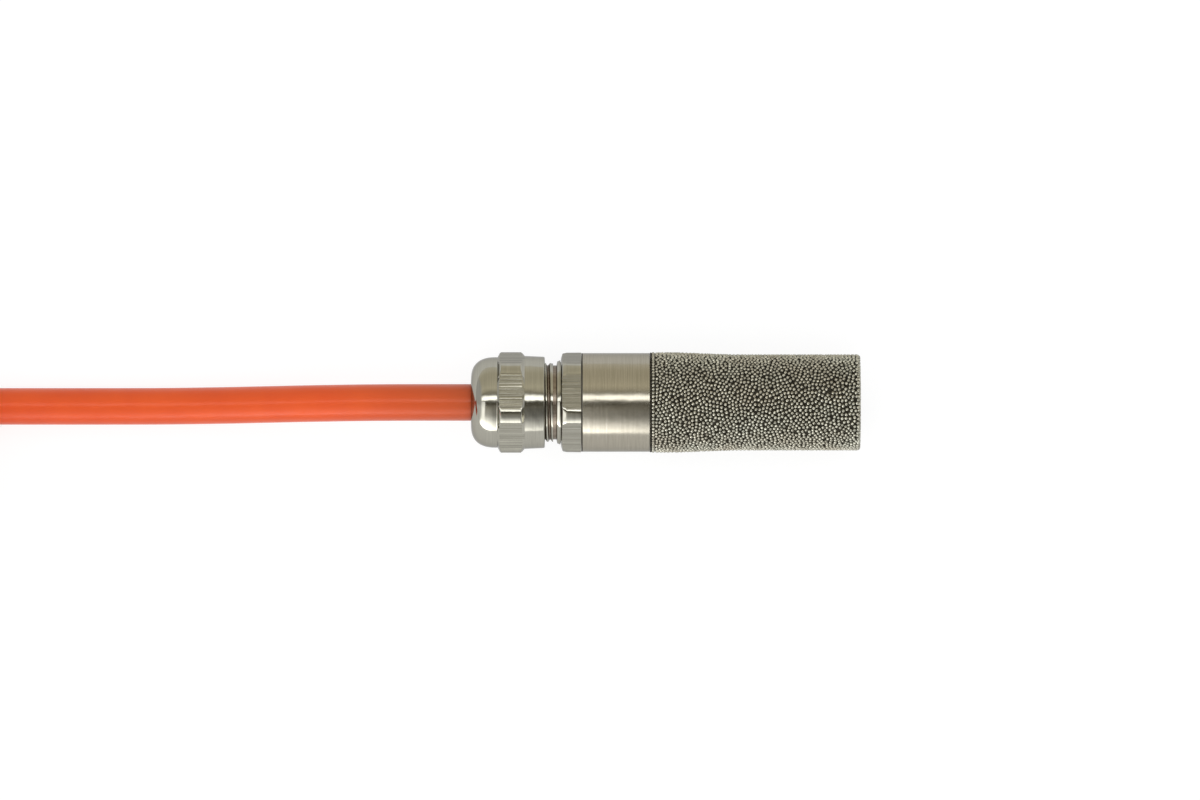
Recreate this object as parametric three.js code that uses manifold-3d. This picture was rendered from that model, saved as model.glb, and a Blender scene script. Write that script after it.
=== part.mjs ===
// Soil moisture probe: a cable gland, a screwed sleeve and a porous sintered tip on an orange cable.
// Lengths are in millimetres and +Z is up. The probe lies along X with its tip at +X, and z = 0 is the
// surface that it and its cable lie on. The gland body is fixed; the dome nut and the tip unscrew.

import * as THREE from 'three';
import { mergeVertices } from 'three/addons/utils/BufferGeometryUtils.js';
import Module from 'manifold-3d';

const wasm = await Module();
wasm.setup();

// Fits shared by all pieces
const seatGap = 0.2; // between faces that rest on each other
const threadPlay = 0.2; // radial, between the envelopes of two mating threads
const cutterOverrun = 1;

// Facets round each kind of piece
const outerFacets = 60;
const innerFacets = 32;
const smallFacets = 20;
const cornerSteps = 3;

// Cable: one metre of sheathed four-core lead
const cable = { radius: 2.6, strippedLength: 3.4, sheathWall: 0.6, facets: 12, freeSteps: 8 };
const core = { radius: 0.5, sideways: 0.8, upward: 1.1, facets: 8, steps: 8, holePlay: 0.16 };
const joinGap = 0.3; // between the faces of two lengths of cable

// Hexagons of the nut and of the gland body, turned down at their corners
const hexagon = { acrossFlats: 13.4, cornerRadius: 7.15 };

// Threads: the nut and the sleeve advance by a pitch in one turn, and come off after the engaged turns
const upperThread = { pitch: 0.75, turns: 6.4, lead: 0.3 };
const lowerThread = { radius: 6.25, pitch: 1.27, turns: 3.8, lead: 0.5 };

// Dome nut
const nut = {
  length: 10.47,
  mouthPlay: 0.7,
  mouthEdge: 0.15,
  domeWall: 0.65,
  domeRounding: 2.55,
  domeSteps: 7,
  bandStart: 3.72,
  bandLength: 3.82,
  bandChamfer: 0.7,
  skirtRootWall: 0.83,
  skirtEndWall: 0.71,
  skirtEdge: 0.35,
  threadRunIn: 0.4,
  standOff: 2.2,
};

// Gland body
const body = {
  neckWall: 0.7,
  collarHeight: 0.35,
  collarLength: 0.62,
  hexThickness: 2.95,
  hexFrontDrop: 0.95,
  hexShoulderDrop: 0.27,
  hexShoulderLength: 0.45,
  hexBackEdge: 0.1,
  clawBoreDepth: 4.3,
  cablePlay: 0.5,
  grooveDepth: 0.75,
  grooveLength: 1.15,
  pottingBoreRadius: 4.4,
  pottingBoreDepth: 5.1,
};

// Clamping claw: a ring of sprung fingers that the nut closes on the seal
const claw = {
  wall: 0.8,
  sealPlay: 0.25,
  length: 7.2,
  fingerBevel: 0.5,
  fingerBevelLength: 2.3,
  tipLip: 0.1,
  tipLipLength: 0.7,
  fingers: 10,
  facetsPerFinger: 6,
  slotWidth: 0.6,
  slotLength: 4.9,
  lugs: 5,
  lugWidth: 1.1,
  lugLength: 0.7,
  lugHeight: 0.45,
  lugPlay: 0.12,
};

// Rubber bush that grips the cable, and the ring that slides the claw shut
const seal = {
  wall: 0.8,
  length: 6.4,
  noseLength: 0.8,
  noseInset: 0.3,
  grooveDepth: 0.2,
  ribs: 3,
};
const slip = { wall: 0.45, clawPlay: 0.25, flange: 0.5, flangePlay: 0.3, skirtLength: 2.0, cablePlay: 0.8 };
const oRing = { sectionRadius: 0.4, sectionFacets: 8 };

// Sleeve between the gland body and the porous tip
const sleeve = {
  wall: 0.35,
  length: 9.5,
  edge: 0.15,
  ringPlay: 0.15,
  ringCounterboreDepth: 0.85,
  threadRelief: 0.8,
  boreRadius: 4.4,
  guideStep: 0.5,
  guideBoreDepth: 3.5,
  spigotLength: 10,
  spigotLead: 0.3,
};

// Porous tip, pressed over the spigot and stretched by it
const filter = {
  wall: 1.5,
  spigotRadius: 5.43,
  tipRadius: 6.77,
  length: 29.55,
  flareLength: 13.5,
  flareSteps: 6,
  tipRounding: 0.4,
  roundingSteps: 3,
  endWall: 1.8,
};

// Board and what is on it
const board = {
  length: 28,
  width: 5.0,
  thickness: 0.8,
  corner: 0.4,
  slotLength: 1.6,
  slotWidth: 0.5,
  slotInset: 0.45,
};
const sensor = {
  length: 5.0,
  width: 3.9,
  height: 1.7,
  edge: 0.15,
  windowRadius: 1.0,
  windowDepth: 0.5,
  fromEnd: 2.0,
};
const chip = { length: 1.6, width: 0.8, height: 0.7, edge: 0.06, pitch: 1.5, fromPads: 2.6 };
const solder = { radius: 0.62, height: 0.6, sideways: 1.25, fromPotting: 3.6, facets: 12 };
const boardSeat = 0.12; // between the board and what is soldered to it
const guide = {
  play: 0.15,
  thickness: 1.8,
  slotPlay: 0.25,
  windowHeight: 2.6,
  windowWidth: 4.6,
  portRadius: 0.9,
  portCentre: 2.9,
};
const potting = { length: 4.5, jacketDepth: 1.4, jacketPlay: 0.2, slotPlay: 0.15, inset: 0.3 };

// Cable put away: a flat hank in four layers, drawn in at the waist
const hank = {
  entry: 18.5,
  foldRadius: 15.8,
  runLength: 66.8,
  straightEnd: 5.4,
  layerPitch: 5.8,
  turns: 4,
  drawIn: 6.5,
  waistLift: 1.35,
  foldSteps: 7,
  facets: 6,
};
const tie = {
  width: 3.2,
  thickness: 0.9,
  margin: 0.8,
  play: 0.3,
  headLength: 5,
  headWidth: 5.4,
  headHeight: 3.2,
  cornerFacets: 4,
};

// The four bare leads at the cable's far end; they spread, then settle on the turn below
const lead = { radius: 0.6, facets: 8, steps: 11, spread: 1.45, rest: 0.1 };
const leadLengths = { red: 34, black: 31, yellow: 33, green: 30 };
const spreadShares = [0.05, 0.4];
const settleShares = [0.15, 0.7];
const tinned = { radius: 0.35, length: 5, gap: 0.3, facets: 8 };

// Centre line of the cable's free stretch in the probe's axes, chosen by hand: x, y and height
const freeRoute = [
  [-27.81, 0, 7.13],
  [-30.4, 0, 7.13],
  [-33, 0, 7.13],
  [-36, 0.01, 7.08],
  [-40, 0.04, 6.88],
  [-44, 0.09, 6.5],
  [-48, 0.15, 5.98],
  [-52, 0.22, 5.36],
  [-56, 0.29, 4.69],
  [-60, 0.35, 4.04],
  [-64, 0.41, 3.47],
  [-68, 0.45, 3.03],
  [-72, 0.48, 2.75],
  [-76, 0.5, 2.62],
  [-80, 0.5, 2.6],
  [-86, 0.5, 2.6],
  [-92, 0.5, 2.6],
  [-98, 0.5, 2.6],
];

// Radii of the gland, from the cable outwards
const sealBore = cable.radius + seatGap;
const sealRadius = sealBore + seal.wall;
const clawBore = sealRadius + claw.sealPlay;
const clawRadius = clawBore + claw.wall;
const neckBore = clawRadius + seatGap;
const neckRadius = neckBore + body.neckWall;
const nutBore = neckRadius + threadPlay;
const nutMouth = cable.radius + nut.mouthPlay;
const domeRadius = nutBore + nut.domeWall;

// Radii of the sleeve, from the thread outwards
const grooveRadius = lowerThread.radius - body.grooveDepth;
const ringCentre = grooveRadius + seatGap + oRing.sectionRadius;
const ringCounterbore = ringCentre + oRing.sectionRadius + sleeve.ringPlay;
const sleeveRadius = ringCounterbore + sleeve.wall;
const guideBore = sleeve.boreRadius + sleeve.guideStep;

// Stations along the axis, with x = 0 at the middle of the probe
const probeLength =
  nut.length + nut.standOff + body.hexThickness + seatGap + sleeve.length + seatGap + filter.length;
const nutStart = -probeLength / 2;
const nutEnd = nutStart + nut.length;
const hexStart = nutEnd + nut.standOff;
const hexEnd = hexStart + body.hexThickness;
const bodyMouth = nutEnd - upperThread.pitch * upperThread.turns;
const clawSeat = bodyMouth + body.clawBoreDepth;
const bodyEnd = hexEnd + body.grooveLength + lowerThread.pitch * lowerThread.turns;
const clawBack = clawSeat - seatGap;
const clawTip = clawBack - claw.length;
const slipFront = clawTip - slip.flangePlay - slip.flange;
const sleeveStart = hexEnd + seatGap;
const sleeveShoulder = sleeveStart + sleeve.length;
const sleeveThreadEnd = bodyEnd + sleeve.threadRelief;
const spigotEnd = sleeveShoulder + sleeve.spigotLength;
const guideSeat = spigotEnd - sleeve.guideBoreDepth;
const filterStart = sleeveShoulder + seatGap;
const tipEnd = filterStart + filter.length;
const pottingEnd = bodyEnd - potting.inset;
const pottingStart = pottingEnd - potting.length;
const jacketEnd = pottingStart + potting.jacketDepth - seatGap;
const boardStart = pottingEnd - potting.length / 2 + seatGap;
const boardEnd = boardStart + board.length;
const padsAt = pottingEnd + solder.fromPotting;
const filterRootRadius = filter.spigotRadius + seatGap + filter.wall;
const axisHeight = filterRootRadius;

const finishes = {
  nickel: new THREE.MeshStandardMaterial({ color: '#a89f8c', roughness: 0.22, metalness: 1 }),
  brushedNickel: new THREE.MeshStandardMaterial({ color: '#a29a86', roughness: 0.34, metalness: 1 }),
  sintered: new THREE.MeshStandardMaterial({ color: '#6f6c5e', roughness: 0.7, metalness: 0.8 }),
  orangeSheath: new THREE.MeshStandardMaterial({ color: '#dd5f2e', roughness: 0.5, metalness: 0 }),
  blackRubber: new THREE.MeshStandardMaterial({ color: '#1b1b1b', roughness: 0.7, metalness: 0 }),
  greyNylon: new THREE.MeshStandardMaterial({ color: '#8f9296', roughness: 0.5, metalness: 0 }),
  whiteNylon: new THREE.MeshStandardMaterial({ color: '#e4e2da', roughness: 0.45, metalness: 0 }),
  resin: new THREE.MeshStandardMaterial({ color: '#20201e', roughness: 0.3, metalness: 0 }),
  boardGreen: new THREE.MeshStandardMaterial({ color: '#1f5a36', roughness: 0.4, metalness: 0 }),
  chipBlack: new THREE.MeshStandardMaterial({ color: '#222326', roughness: 0.5, metalness: 0 }),
  ceramicTan: new THREE.MeshStandardMaterial({ color: '#b08a5c', roughness: 0.5, metalness: 0 }),
  solder: new THREE.MeshStandardMaterial({ color: '#c4c6c8', roughness: 0.25, metalness: 1 }),
  red: new THREE.MeshStandardMaterial({ color: '#b3261e', roughness: 0.45, metalness: 0 }),
  black: new THREE.MeshStandardMaterial({ color: '#1a1a1c', roughness: 0.45, metalness: 0 }),
  yellow: new THREE.MeshStandardMaterial({ color: '#d9b01c', roughness: 0.45, metalness: 0 }),
  green: new THREE.MeshStandardMaterial({ color: '#2c7a3d', roughness: 0.45, metalness: 0 }),
};

/** Turns a closed geometry into a solid, with its faces pointing out. */
function toSolid(geometry) {
  const bare = geometry.clone();
  bare.deleteAttribute('normal');
  bare.deleteAttribute('uv');
  const merged = mergeVertices(bare);
  const place = merged.getAttribute('position');
  const corner = (index) => new THREE.Vector3().fromBufferAttribute(place, index);
  const triangles = [];
  let volume = 0;
  for (let i = 0; i < merged.index.count; i += 3) {
    const [a, b, c] = [0, 1, 2].map((step) => merged.index.getX(i + step));
    if (a === b || b === c || c === a) continue;
    triangles.push([a, b, c]);
    volume += corner(a).dot(corner(b).cross(corner(c)));
  }
  const outward = triangles.map(([a, b, c]) => (volume > 0 ? [a, b, c] : [a, c, b]));
  return new wasm.Manifold(
    new wasm.Mesh({
      numProp: 3,
      vertProperties: new Float32Array(place.array),
      triVerts: new Uint32Array(outward.flat()),
    }),
  );
}

/** Gives a solid's faces back as a named mesh. */
function piece(name, solid, material) {
  const { vertProperties, triVerts } = solid.getMesh();
  const geometry = new THREE.BufferGeometry();
  geometry.setAttribute('position', new THREE.BufferAttribute(new Float32Array(vertProperties), 3));
  geometry.setIndex(new THREE.BufferAttribute(new Uint32Array(triVerts), 1));
  geometry.computeVertexNormals();
  const mesh = new THREE.Mesh(geometry, material);
  mesh.name = name;
  return mesh;
}

/** Revolves a closed outline of [x, radius] points about the X axis. */
function revolve(outline, facets) {
  const points = outline.map(([x, radius]) => new THREE.Vector2(radius, x));
  if (outline[0][1] > 0) points.push(points[0].clone());
  return toSolid(new THREE.LatheGeometry(points, facets).rotateZ(-Math.PI / 2));
}

/** Points of an arc about [x, radius], from one angle to another, measured from +X towards +radius. */
function arc(x, radius, bend, from, to, steps) {
  return Array.from({ length: steps + 1 }, (_, i) => {
    const angle = THREE.MathUtils.degToRad(from + ((to - from) * i) / steps);
    return [x + bend * Math.cos(angle), radius + bend * Math.sin(angle)];
  });
}

/** A hexagonal bar along X with one flat facing up. */
function hexBar(acrossFlats, from, to) {
  const radius = acrossFlats / 2 / Math.cos(Math.PI / 6);
  const bar = new THREE.CylinderGeometry(radius, radius, to - from, 6, 1, false, Math.PI / 6);
  return toSolid(bar.rotateZ(-Math.PI / 2).translate((from + to) / 2, 0, 0));
}

/** A block with its centre at the given place, turned about the X axis. */
function block(size, centre, turn = 0) {
  return toSolid(new THREE.BoxGeometry(...size).translate(...centre).rotateX(turn));
}

/** A round bar along X with its centre line at [y, z]. */
function bar(radius, from, to, y = 0, z = 0, facets = smallFacets) {
  const rod = new THREE.CylinderGeometry(radius, radius, to - from, facets);
  return toSolid(rod.rotateZ(-Math.PI / 2).translate((from + to) / 2, y, z));
}

/** A tube through points, with flat ends square to its path. */
function cord(points, radius, facets, steps) {
  const section = new THREE.Shape(
    Array.from({ length: facets }, (_, i) => {
      const angle = (i * 2 * Math.PI) / facets;
      return new THREE.Vector2(radius * Math.cos(angle), radius * Math.sin(angle));
    }),
  );
  const extrudePath = new THREE.CatmullRomCurve3(points.map((point) => new THREE.Vector3(...point)));
  return toSolid(new THREE.ExtrudeGeometry(section, { steps, extrudePath }));
}

/** Joins solids that touch or cross. */
function join(solids) {
  return solids.reduce((whole, solid) => whole.add(solid));
}

/** Cuts solids away from another. */
function cut(whole, solids) {
  return solids.reduce((left, solid) => left.subtract(solid), whole);
}

/** Outside radius of the porous tip at a distance from its root. */
function tipFlare(distance) {
  const share = Math.min(distance / filter.flareLength, 1);
  return filter.tipRadius + ((filterRootRadius - filter.tipRadius) * (1 + Math.cos(Math.PI * share))) / 2;
}

/** Outside radius of the claw's closing fingers at a station. */
function fingerCone(x) {
  return clawRadius - claw.fingerBevel * (1 - (x - clawTip) / claw.fingerBevelLength);
}

// Gland

function domeNut() {
  const bandStart = nutStart + nut.bandStart;
  const bandEnd = bandStart + nut.bandLength;
  const coneGap = slip.clawPlay + slip.wall + seatGap;
  const shoulder = slipFront - seatGap;
  const threadEnd = bodyMouth - nut.threadRunIn;
  const rounding = nut.domeRounding;
  const skirtEnd = nutBore + nut.skirtEndWall;
  const outline = [
    [nutStart, nutMouth + nut.mouthEdge],
    ...arc(nutStart + rounding, domeRadius - rounding, rounding, 180, 90, nut.domeSteps),
    [bandStart, domeRadius],
    [bandStart + nut.bandChamfer, hexagon.cornerRadius],
    [bandEnd - nut.bandChamfer, hexagon.cornerRadius],
    [bandEnd, nutBore + nut.skirtRootWall],
    [nutEnd - nut.skirtEdge, skirtEnd],
    [nutEnd, skirtEnd - nut.skirtEdge],
    [nutEnd, nutBore],
    [threadEnd, nutBore],
    [threadEnd - threadPlay, fingerCone(threadEnd - threadPlay) + coneGap],
    [shoulder, fingerCone(shoulder) + coneGap],
    [shoulder, nutMouth],
    [nutStart + nut.mouthEdge, nutMouth],
  ];
  const flats = hexBar(hexagon.acrossFlats, nutStart - cutterOverrun, nutEnd + cutterOverrun);
  return revolve(outline, outerFacets).intersect(flats);
}

function slipRing() {
  const back = slipFront + slip.flange + slip.skirtLength;
  const flangeBack = slipFront + slip.flange;
  const slipBore = cable.radius + slip.cablePlay;
  const inner = (x) => fingerCone(x) + slip.clawPlay;
  return revolve(
    [
      [slipFront, slipBore],
      [slipFront, inner(slipFront) + slip.wall],
      [back, inner(back) + slip.wall],
      [back, inner(back)],
      [flangeBack, inner(flangeBack)],
      [flangeBack, slipBore],
    ],
    innerFacets,
  );
}

function clampingClaw() {
  const shell = revolve(
    [
      [clawTip, clawBore - claw.tipLip],
      [clawTip, fingerCone(clawTip)],
      [clawTip + claw.fingerBevelLength, clawRadius],
      [clawBack, clawRadius],
      [clawBack, clawBore],
      [clawTip + claw.tipLipLength, clawBore],
    ],
    claw.fingers * claw.facetsPerFinger,
  );
  const lugRoot = (clawRadius + clawBore) / 2;
  const lugTop = clawRadius + claw.lugHeight;
  const lugStart = bodyMouth + seatGap;
  const lugs = Array.from({ length: claw.lugs }, (_, i) =>
    block(
      [claw.lugLength, claw.lugWidth, lugTop - lugRoot],
      [lugStart + claw.lugLength / 2, 0, (lugTop + lugRoot) / 2],
      (i * 2 * Math.PI) / claw.lugs,
    ),
  );
  const slots = Array.from({ length: claw.fingers }, (_, i) =>
    block(
      [claw.slotLength + cutterOverrun, claw.slotWidth, clawRadius],
      [clawTip + (claw.slotLength - cutterOverrun) / 2, 0, clawRadius],
      ((i + 1 / 2) * 2 * Math.PI) / claw.fingers,
    ),
  );
  return cut(join([shell, ...lugs]), slots);
}

function sealBush() {
  const back = clawBack;
  const front = back - seal.length;
  const barrel = front + seal.noseLength;
  const ribStep = (back - barrel) / seal.ribs;
  const ribs = Array.from({ length: seal.ribs }, (_, i) => [
    [barrel + ribStep * i, sealRadius],
    [barrel + ribStep * (i + 1 / 2), sealRadius],
    [barrel + ribStep * (i + 3 / 4), sealRadius - seal.grooveDepth],
  ]);
  return revolve(
    [
      [front, sealBore],
      [front, sealRadius - seal.noseInset],
      ...ribs.flat(),
      [back, sealRadius],
      [back, sealBore],
    ],
    innerFacets,
  );
}

function glandBody() {
  const grooveEnd = hexEnd + body.grooveLength;
  const chamber = bodyEnd - body.pottingBoreDepth;
  const collarStart = hexStart - body.collarLength;
  const collarRadius = neckRadius + body.collarHeight;
  const cableBore = cable.radius + body.cablePlay;
  const outline = [
    [bodyMouth, neckBore],
    [bodyMouth, neckRadius - upperThread.lead],
    [bodyMouth + upperThread.lead, neckRadius],
    [collarStart, neckRadius],
    [collarStart + body.hexBackEdge, collarRadius],
    [hexStart, collarRadius],
    [hexStart, hexagon.cornerRadius - body.hexFrontDrop],
    [hexStart + body.hexShoulderLength, hexagon.cornerRadius - body.hexShoulderDrop],
    [hexEnd - body.hexBackEdge, hexagon.cornerRadius],
    [hexEnd, hexagon.cornerRadius - body.hexBackEdge],
    [hexEnd, grooveRadius],
    [grooveEnd, grooveRadius],
    [grooveEnd, lowerThread.radius],
    [bodyEnd - lowerThread.lead, lowerThread.radius],
    [bodyEnd, lowerThread.radius - lowerThread.lead],
    [bodyEnd, body.pottingBoreRadius],
    [chamber, body.pottingBoreRadius],
    [chamber, cableBore],
    [clawSeat, cableBore],
    [clawSeat, neckBore],
  ];
  const flats = hexBar(hexagon.acrossFlats, bodyMouth - cutterOverrun, bodyEnd + cutterOverrun);
  const notchRoot = (clawRadius + clawBore) / 2;
  const notchTop = clawRadius + claw.lugHeight + claw.lugPlay;
  const notchLength = seatGap + claw.lugLength + claw.lugPlay;
  const notches = Array.from({ length: claw.lugs }, (_, i) =>
    block(
      [notchLength + cutterOverrun, claw.lugWidth + 2 * claw.lugPlay, notchTop - notchRoot],
      [bodyMouth + (notchLength - cutterOverrun) / 2, 0, (notchTop + notchRoot) / 2],
      (i * 2 * Math.PI) / claw.lugs,
    ),
  );
  return cut(revolve(outline, outerFacets).intersect(flats), notches);
}

function sealingRing() {
  const centre = hexEnd + body.grooveLength / 2;
  const outline = arc(centre, ringCentre, oRing.sectionRadius, 0, 360, oRing.sectionFacets);
  return revolve(outline.slice(0, -1), innerFacets);
}

// Sleeve and porous tip

function filterSleeve() {
  const ringEnd = sleeveStart + sleeve.ringCounterboreDepth;
  const threadBore = lowerThread.radius + threadPlay;
  const spigotRadius = (x) => tipFlare(x - filterStart) - filter.wall - seatGap;
  const spigotSteps = Array.from({ length: filter.flareSteps }, (_, i) => {
    const x = sleeveShoulder + ((sleeve.spigotLength - sleeve.spigotLead) * i) / (filter.flareSteps - 1);
    return [x, spigotRadius(Math.max(x, filterStart))];
  });
  return revolve(
    [
      [sleeveStart, ringCounterbore],
      [sleeveStart, sleeveRadius - sleeve.edge],
      [sleeveStart + sleeve.edge, sleeveRadius],
      [sleeveShoulder - sleeve.edge, sleeveRadius],
      [sleeveShoulder, sleeveRadius - sleeve.edge],
      ...spigotSteps,
      [spigotEnd, spigotRadius(spigotEnd) - sleeve.spigotLead / 2],
      [spigotEnd, guideBore],
      [guideSeat, guideBore],
      [guideSeat, sleeve.boreRadius],
      [sleeveThreadEnd, sleeve.boreRadius],
      [sleeveThreadEnd, threadBore],
      [ringEnd, threadBore],
      [ringEnd, ringCounterbore],
    ],
    outerFacets,
  );
}

function sinteredFilter() {
  const stations = Array.from({ length: filter.flareSteps + 1 }, (_, i) => {
    const distance = (filter.flareLength * i) / filter.flareSteps;
    return [filterStart + distance, tipFlare(distance)];
  });
  const inside = stations.map(([x, radius]) => [x, radius - filter.wall]).reverse();
  const rounding = filter.tipRounding;
  return revolve(
    [
      [tipEnd - filter.endWall, 0],
      [tipEnd - filter.endWall, filter.tipRadius - filter.wall],
      ...inside,
      ...stations,
      ...arc(tipEnd - rounding, filter.tipRadius - rounding, rounding, 90, 0, filter.roundingSteps),
      [tipEnd, 0],
    ],
    outerFacets,
  );
}

// Cable inside the gland, potting and board

function innerCable() {
  const coreHole = cable.radius - cable.sheathWall;
  return revolve(
    [
      [nutStart, 0],
      [nutStart, cable.radius],
      [jacketEnd, cable.radius],
      [jacketEnd, coreHole],
      [jacketEnd - cable.strippedLength, coreHole],
      [jacketEnd - cable.strippedLength, 0],
    ],
    smallFacets,
  );
}

/** Places of the four cores round the cable's centre, as [y, z] signs. */
const coreSigns = [
  [-1, 1],
  [1, 1],
  [-1, -1],
  [1, -1],
];

function innerCore([side, up]) {
  const start = jacketEnd - cable.strippedLength + seatGap;
  const end = padsAt - solder.radius - seatGap;
  const [near, far] = [side * core.sideways, side * solder.sideways];
  const height = up * core.upward;
  const fanStart = pottingEnd + seatGap;
  return cord(
    [
      [start, near, height],
      [(start + fanStart) / 2, near, height],
      [fanStart, near, height],
      [(fanStart + end) / 2, (near + far) / 2, height],
      [end - core.radius, far, height],
      [end, far, height],
    ],
    core.radius,
    core.facets,
    core.steps,
  );
}

function pottingPlug() {
  const jacketHole = cable.radius + potting.jacketPlay;
  const plugRadius = body.pottingBoreRadius - seatGap;
  const plug = revolve(
    [
      [pottingStart, jacketHole],
      [pottingStart, plugRadius],
      [pottingEnd, plugRadius],
      [pottingEnd, 0],
      [pottingStart + potting.jacketDepth, 0],
      [pottingStart + potting.jacketDepth, jacketHole],
    ].reverse(),
    innerFacets,
  );
  const holes = coreSigns.map(([side, up]) =>
    bar(
      core.radius + core.holePlay,
      pottingStart,
      pottingEnd + cutterOverrun,
      side * core.sideways,
      up * core.upward,
      smallFacets,
    ),
  );
  const slotStart = boardStart - seatGap;
  const slot = block(
    [
      pottingEnd + cutterOverrun - slotStart,
      board.width + 2 * potting.slotPlay,
      board.thickness + 2 * potting.slotPlay,
    ],
    [(pottingEnd + cutterOverrun + slotStart) / 2, 0, 0],
  );
  return cut(plug, [...holes, slot]);
}

/** A flat plate along X with round corners, centred on the axis. */
function plate(length, width, thickness, corner) {
  const [a, b] = [length / 2, width / 2];
  const outline = new THREE.Shape();
  outline.moveTo(corner - a, -b);
  outline.absarc(a - corner, corner - b, corner, -Math.PI / 2, 0);
  outline.absarc(a - corner, b - corner, corner, 0, Math.PI / 2);
  outline.absarc(corner - a, b - corner, corner, Math.PI / 2, Math.PI);
  outline.absarc(corner - a, corner - b, corner, Math.PI, (3 * Math.PI) / 2);
  const options = { depth: thickness, bevelEnabled: false, curveSegments: cornerSteps };
  return toSolid(new THREE.ExtrudeGeometry(outline, options).translate(0, 0, -thickness / 2));
}

function sensorBoard() {
  const slotX = board.length / 2 - sensor.fromEnd - sensor.length - board.slotInset;
  const slots = [-1, 1].map((side) =>
    block(
      [board.slotWidth, board.slotLength, board.thickness + cutterOverrun],
      [slotX, side * (board.width / 2 - board.slotLength / 2 - board.slotInset), 0],
    ),
  );
  return cut(plate(board.length, board.width, board.thickness, board.corner), slots);
}

function humiditySensor() {
  const window = new THREE.CylinderGeometry(
    sensor.windowRadius,
    sensor.windowRadius,
    sensor.windowDepth * 2,
    smallFacets,
  );
  const hole = toSolid(window.rotateX(Math.PI / 2).translate(0, 0, sensor.height / 2));
  return cut(plate(sensor.length, sensor.width, sensor.height, sensor.edge), [hole]);
}

function solderJoint() {
  const dome = Array.from({ length: solder.facets / 3 + 1 }, (_, i) => {
    const angle = (Math.PI / 2) * (i / (solder.facets / 3));
    return [solder.height * Math.sin(angle), solder.radius * Math.cos(angle)];
  });
  return revolve([[0, 0], ...dome.slice(0, -1), [solder.height, 0]], solder.facets);
}

function boardGuideRing() {
  const start = guideSeat + seatGap;
  const middle = start + guide.thickness / 2;
  const disc = bar(guideBore - guide.play, start, start + guide.thickness, 0, 0, innerFacets);
  const depth = guide.thickness + cutterOverrun;
  const slotHeight = board.thickness + 2 * guide.slotPlay;
  const slot = block([depth, board.width + 2 * guide.slotPlay, slotHeight], [middle, 0, 0]);
  const window = block([depth, guide.windowWidth, guide.windowHeight], [middle, 0, guide.windowHeight / 2]);
  const port = bar(guide.portRadius, start - cutterOverrun, start + depth, 0, -guide.portCentre);
  return cut(disc, [slot, window, port]);
}

// Cable put away in a hank

const hankEntry = freeRoute.at(-1);
const hankRight = hankEntry[0] - joinGap - hank.entry;
const hankLeft = hankRight - hank.runLength;
const hankMiddle = hankEntry[1] - hank.foldRadius;

/** Places along a run, as shares: the end of its straight stretch and the start of the tied one. */
const straightShare = hank.straightEnd / hank.runLength;
const tiedShare = 1 / 2 - (tie.width / 2 + tie.margin) / hank.runLength;

/** How far a run is drawn in and lifted, from 0 at its straight ends to 1 where it is tied. */
function waist(share) {
  const fromEnd = Math.min(share, 1 - share);
  const rise = THREE.MathUtils.clamp((fromEnd - straightShare) / (tiedShare - straightShare), 0, 1);
  return (1 - Math.cos(Math.PI * rise)) / 2;
}

/** Centre of the cable on a run of one turn; side is 1 going out and -1 coming back. */
function onRun(turn, side, share) {
  const drawn = waist(share);
  const x = side > 0 ? hankRight - hank.runLength * share : hankLeft + hank.runLength * share;
  const y = hankMiddle + side * (hank.foldRadius - hank.drawIn * drawn);
  return new THREE.Vector3(x, y, cable.radius + turn * hank.layerPitch + hank.waistLift * drawn);
}

/** Centre of the cable on the far fold of one turn. */
function onFarFold(turn, share) {
  const angle = Math.PI * share;
  return new THREE.Vector3(
    hankLeft - hank.foldRadius * Math.sin(angle),
    hankMiddle + hank.foldRadius * Math.cos(angle),
    cable.radius + turn * hank.layerPitch,
  );
}

/** Centre of the cable on the near fold, where it climbs onto the layer that it has laid. */
function onNearFold(turn, share) {
  const angle = Math.PI * share;
  const climbed = turn + THREE.MathUtils.smoothstep(share, 0, 1);
  return new THREE.Vector3(
    hankRight + hank.foldRadius * Math.sin(angle),
    hankMiddle - hank.foldRadius * Math.cos(angle),
    cable.radius + climbed * hank.layerPitch,
  );
}

/** The hank's centre line, with the given steps in each fold and places along each run. */
function hankRoute(foldSteps, runShares) {
  const fold = (place) => Array.from({ length: foldSteps }, (_, i) => place(i / foldSteps));
  const run = (turn, side) => runShares.map((share) => onRun(turn, side, share));
  const points = [new THREE.Vector3(hankEntry[0] - joinGap, hankEntry[1], cable.radius)];
  for (let turn = 0; turn < hank.turns; turn += 1) {
    points.push(...run(turn, 1), ...fold((share) => onFarFold(turn, share)), ...run(turn, -1));
    if (turn < hank.turns - 1) points.push(...fold((share) => onNearFold(turn, share)));
  }
  const last = hank.turns - 1;
  points.push(onRun(last, -1, 1 - straightShare), onRun(last, -1, 1));
  return points;
}

/** Directions across and above a path, for a heading. */
function across(heading) {
  const side = new THREE.Vector3().crossVectors(heading, new THREE.Vector3(0, 0, 1)).normalize();
  return [side, new THREE.Vector3().crossVectors(side, heading).normalize()];
}

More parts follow.
